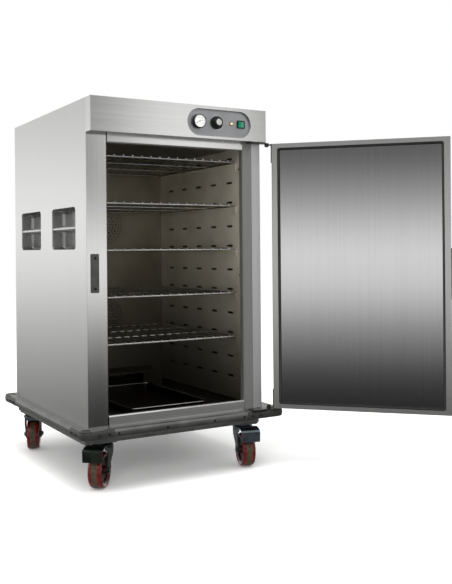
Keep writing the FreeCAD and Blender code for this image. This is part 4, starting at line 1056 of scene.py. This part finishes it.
direction = add(sky, "TexCoord").outputs["Generated"]
axes = add(sky, "SeparateXYZ", {"Vector": direction}).outputs
height = rise(sky, axes["Z"], -0.5, 0.5)
front_band = [(0.0, gray(0.16)), (0.27, gray(0.02)), (0.327, gray(0.035)), (0.357, gray(0.09)),
              (0.404, gray(0.40)), (0.452, gray(0.98)), (0.494, gray(1.18)), (0.523, gray(0.94)),
              (0.56, gray(0.52)), (0.606, gray(0.18)), (0.66, gray(0.12)), (0.80, gray(0.22)),
              (1.0, gray(1.0))]
back_band = [(0.0, gray(0.3)), (0.30, gray(0.16)), (0.40, gray(0.55)), (0.47, gray(1.05)),
             (0.51, gray(1.28)), (0.56, gray(1.22)), (0.66, gray(0.8)), (0.80, gray(0.6)), (1.0, gray(1.0))]
lamp_way = Vector((0.474, -0.8805, 0.150)).normalized()
LAMP_EDGE, LAMP_FULL, LAMP_GLOW = 0.9940, 0.9990, 1.55   # cosines at its edge and core, and brightness
nearness = add(sky, "VectorMath", {0: direction, 1: lamp_way}, operation="DOT_PRODUCT").outputs["Value"]
patch = rise(sky, nearness, LAMP_EDGE, LAMP_FULL, "SMOOTHSTEP")
dim_front = ramp(sky, height, front_band)
front_light = mix(sky, patch, dim_front, gray(LAMP_GLOW))
back_light = ramp(sky, height, back_band)
behind = rise(sky, axes["Y"], -0.1, 0.6)
room_colour = mix(sky, behind, front_light, back_light)
seen = add(sky, "LightPath").outputs["Is Camera Ray"]
tent = add(sky, "Background", {"Color": room_colour, "Strength": 1.0}).outputs["Background"]
paper = add(sky, "Background", {"Color": gray(1.0), "Strength": 1.0}).outputs["Background"]
either = add(sky, "MixShader", {0: seen, 1: tent, 2: paper}).outputs[0]
add(sky, "OutputWorld", {"Surface": either})
print("tent", world.name)

# %% [markdown]
# A pale floor takes the shadows and glows a little, so that it runs into the white behind it. It and the
# two softboxes are left out of reflections, which keeps the lower half of the tent dark.

# %% Floor and soft lights
FLOOR_HALF = 14.0
floor_shape = bmesh.new()
ends = [(-1, -1), (1, -1), (1, 1), (-1, 1)]
floor_shape.faces.new([floor_shape.verts.new((x * FLOOR_HALF, y * FLOOR_HALF, 0)) for x, y in ends])
floor = mesh_object("studio_floor", floor_shape)
paper_floor, _, _ = new_material("pale_floor", Base_Color=from_hex("#fbfbfa"), Roughness=0.7,
                                 Emission_Color=gray(1.0), Emission_Strength=0.14)
floor.data.materials.append(paper_floor)
floor.visible_glossy = False


def softbox(name, place, aim, size, power):
    """A square area light that points at a spot."""
    lamp = bpy.data.lights.new(name, "AREA")
    lamp.shape = "SQUARE"
    lamp.size = size
    lamp.energy = power
    obj = new_object(name, lamp)
    obj.matrix_world = facing(place - aim, place)
    obj.visible_glossy = False


AIM = Vector((0, 0, 0.7))
softbox("overhead_softbox", Vector((-0.8, -0.8, 4.2)), AIM, 3.0, 160)
softbox("front_softbox", Vector((-3.6, -4.6, 2.9)), AIM, 1.6, 90)
bpy.context.scene.view_settings.view_transform = "Standard"
print("floor and lights")

# %% [markdown]
# The camera stands to the left and is level, so the uprights stay upright. The frame is shifted instead of
# tilting the camera.

# %% Camera
lens = bpy.data.cameras.new("camera")
lens.lens = 51.17
lens.sensor_width = 36.0
lens.shift_y = -0.0726
lens.clip_end = 100.0
camera = new_object("camera", lens)
EYE, FORWARD = at(-1017.4, -2609.9, 817.6), Vector((0.5125, 0.8587, 0.0)).normalized()
ROLL = math.radians(-0.498)
camera.matrix_world = (Matrix.Translation(EYE) @ FORWARD.to_track_quat("-Z", "Y").to_matrix().to_4x4()
                       @ Matrix.Rotation(ROLL, 4, "Z"))
bpy.context.scene.camera = camera
print("camera", tuple(round(v, 3) for v in camera.matrix_world.translation))
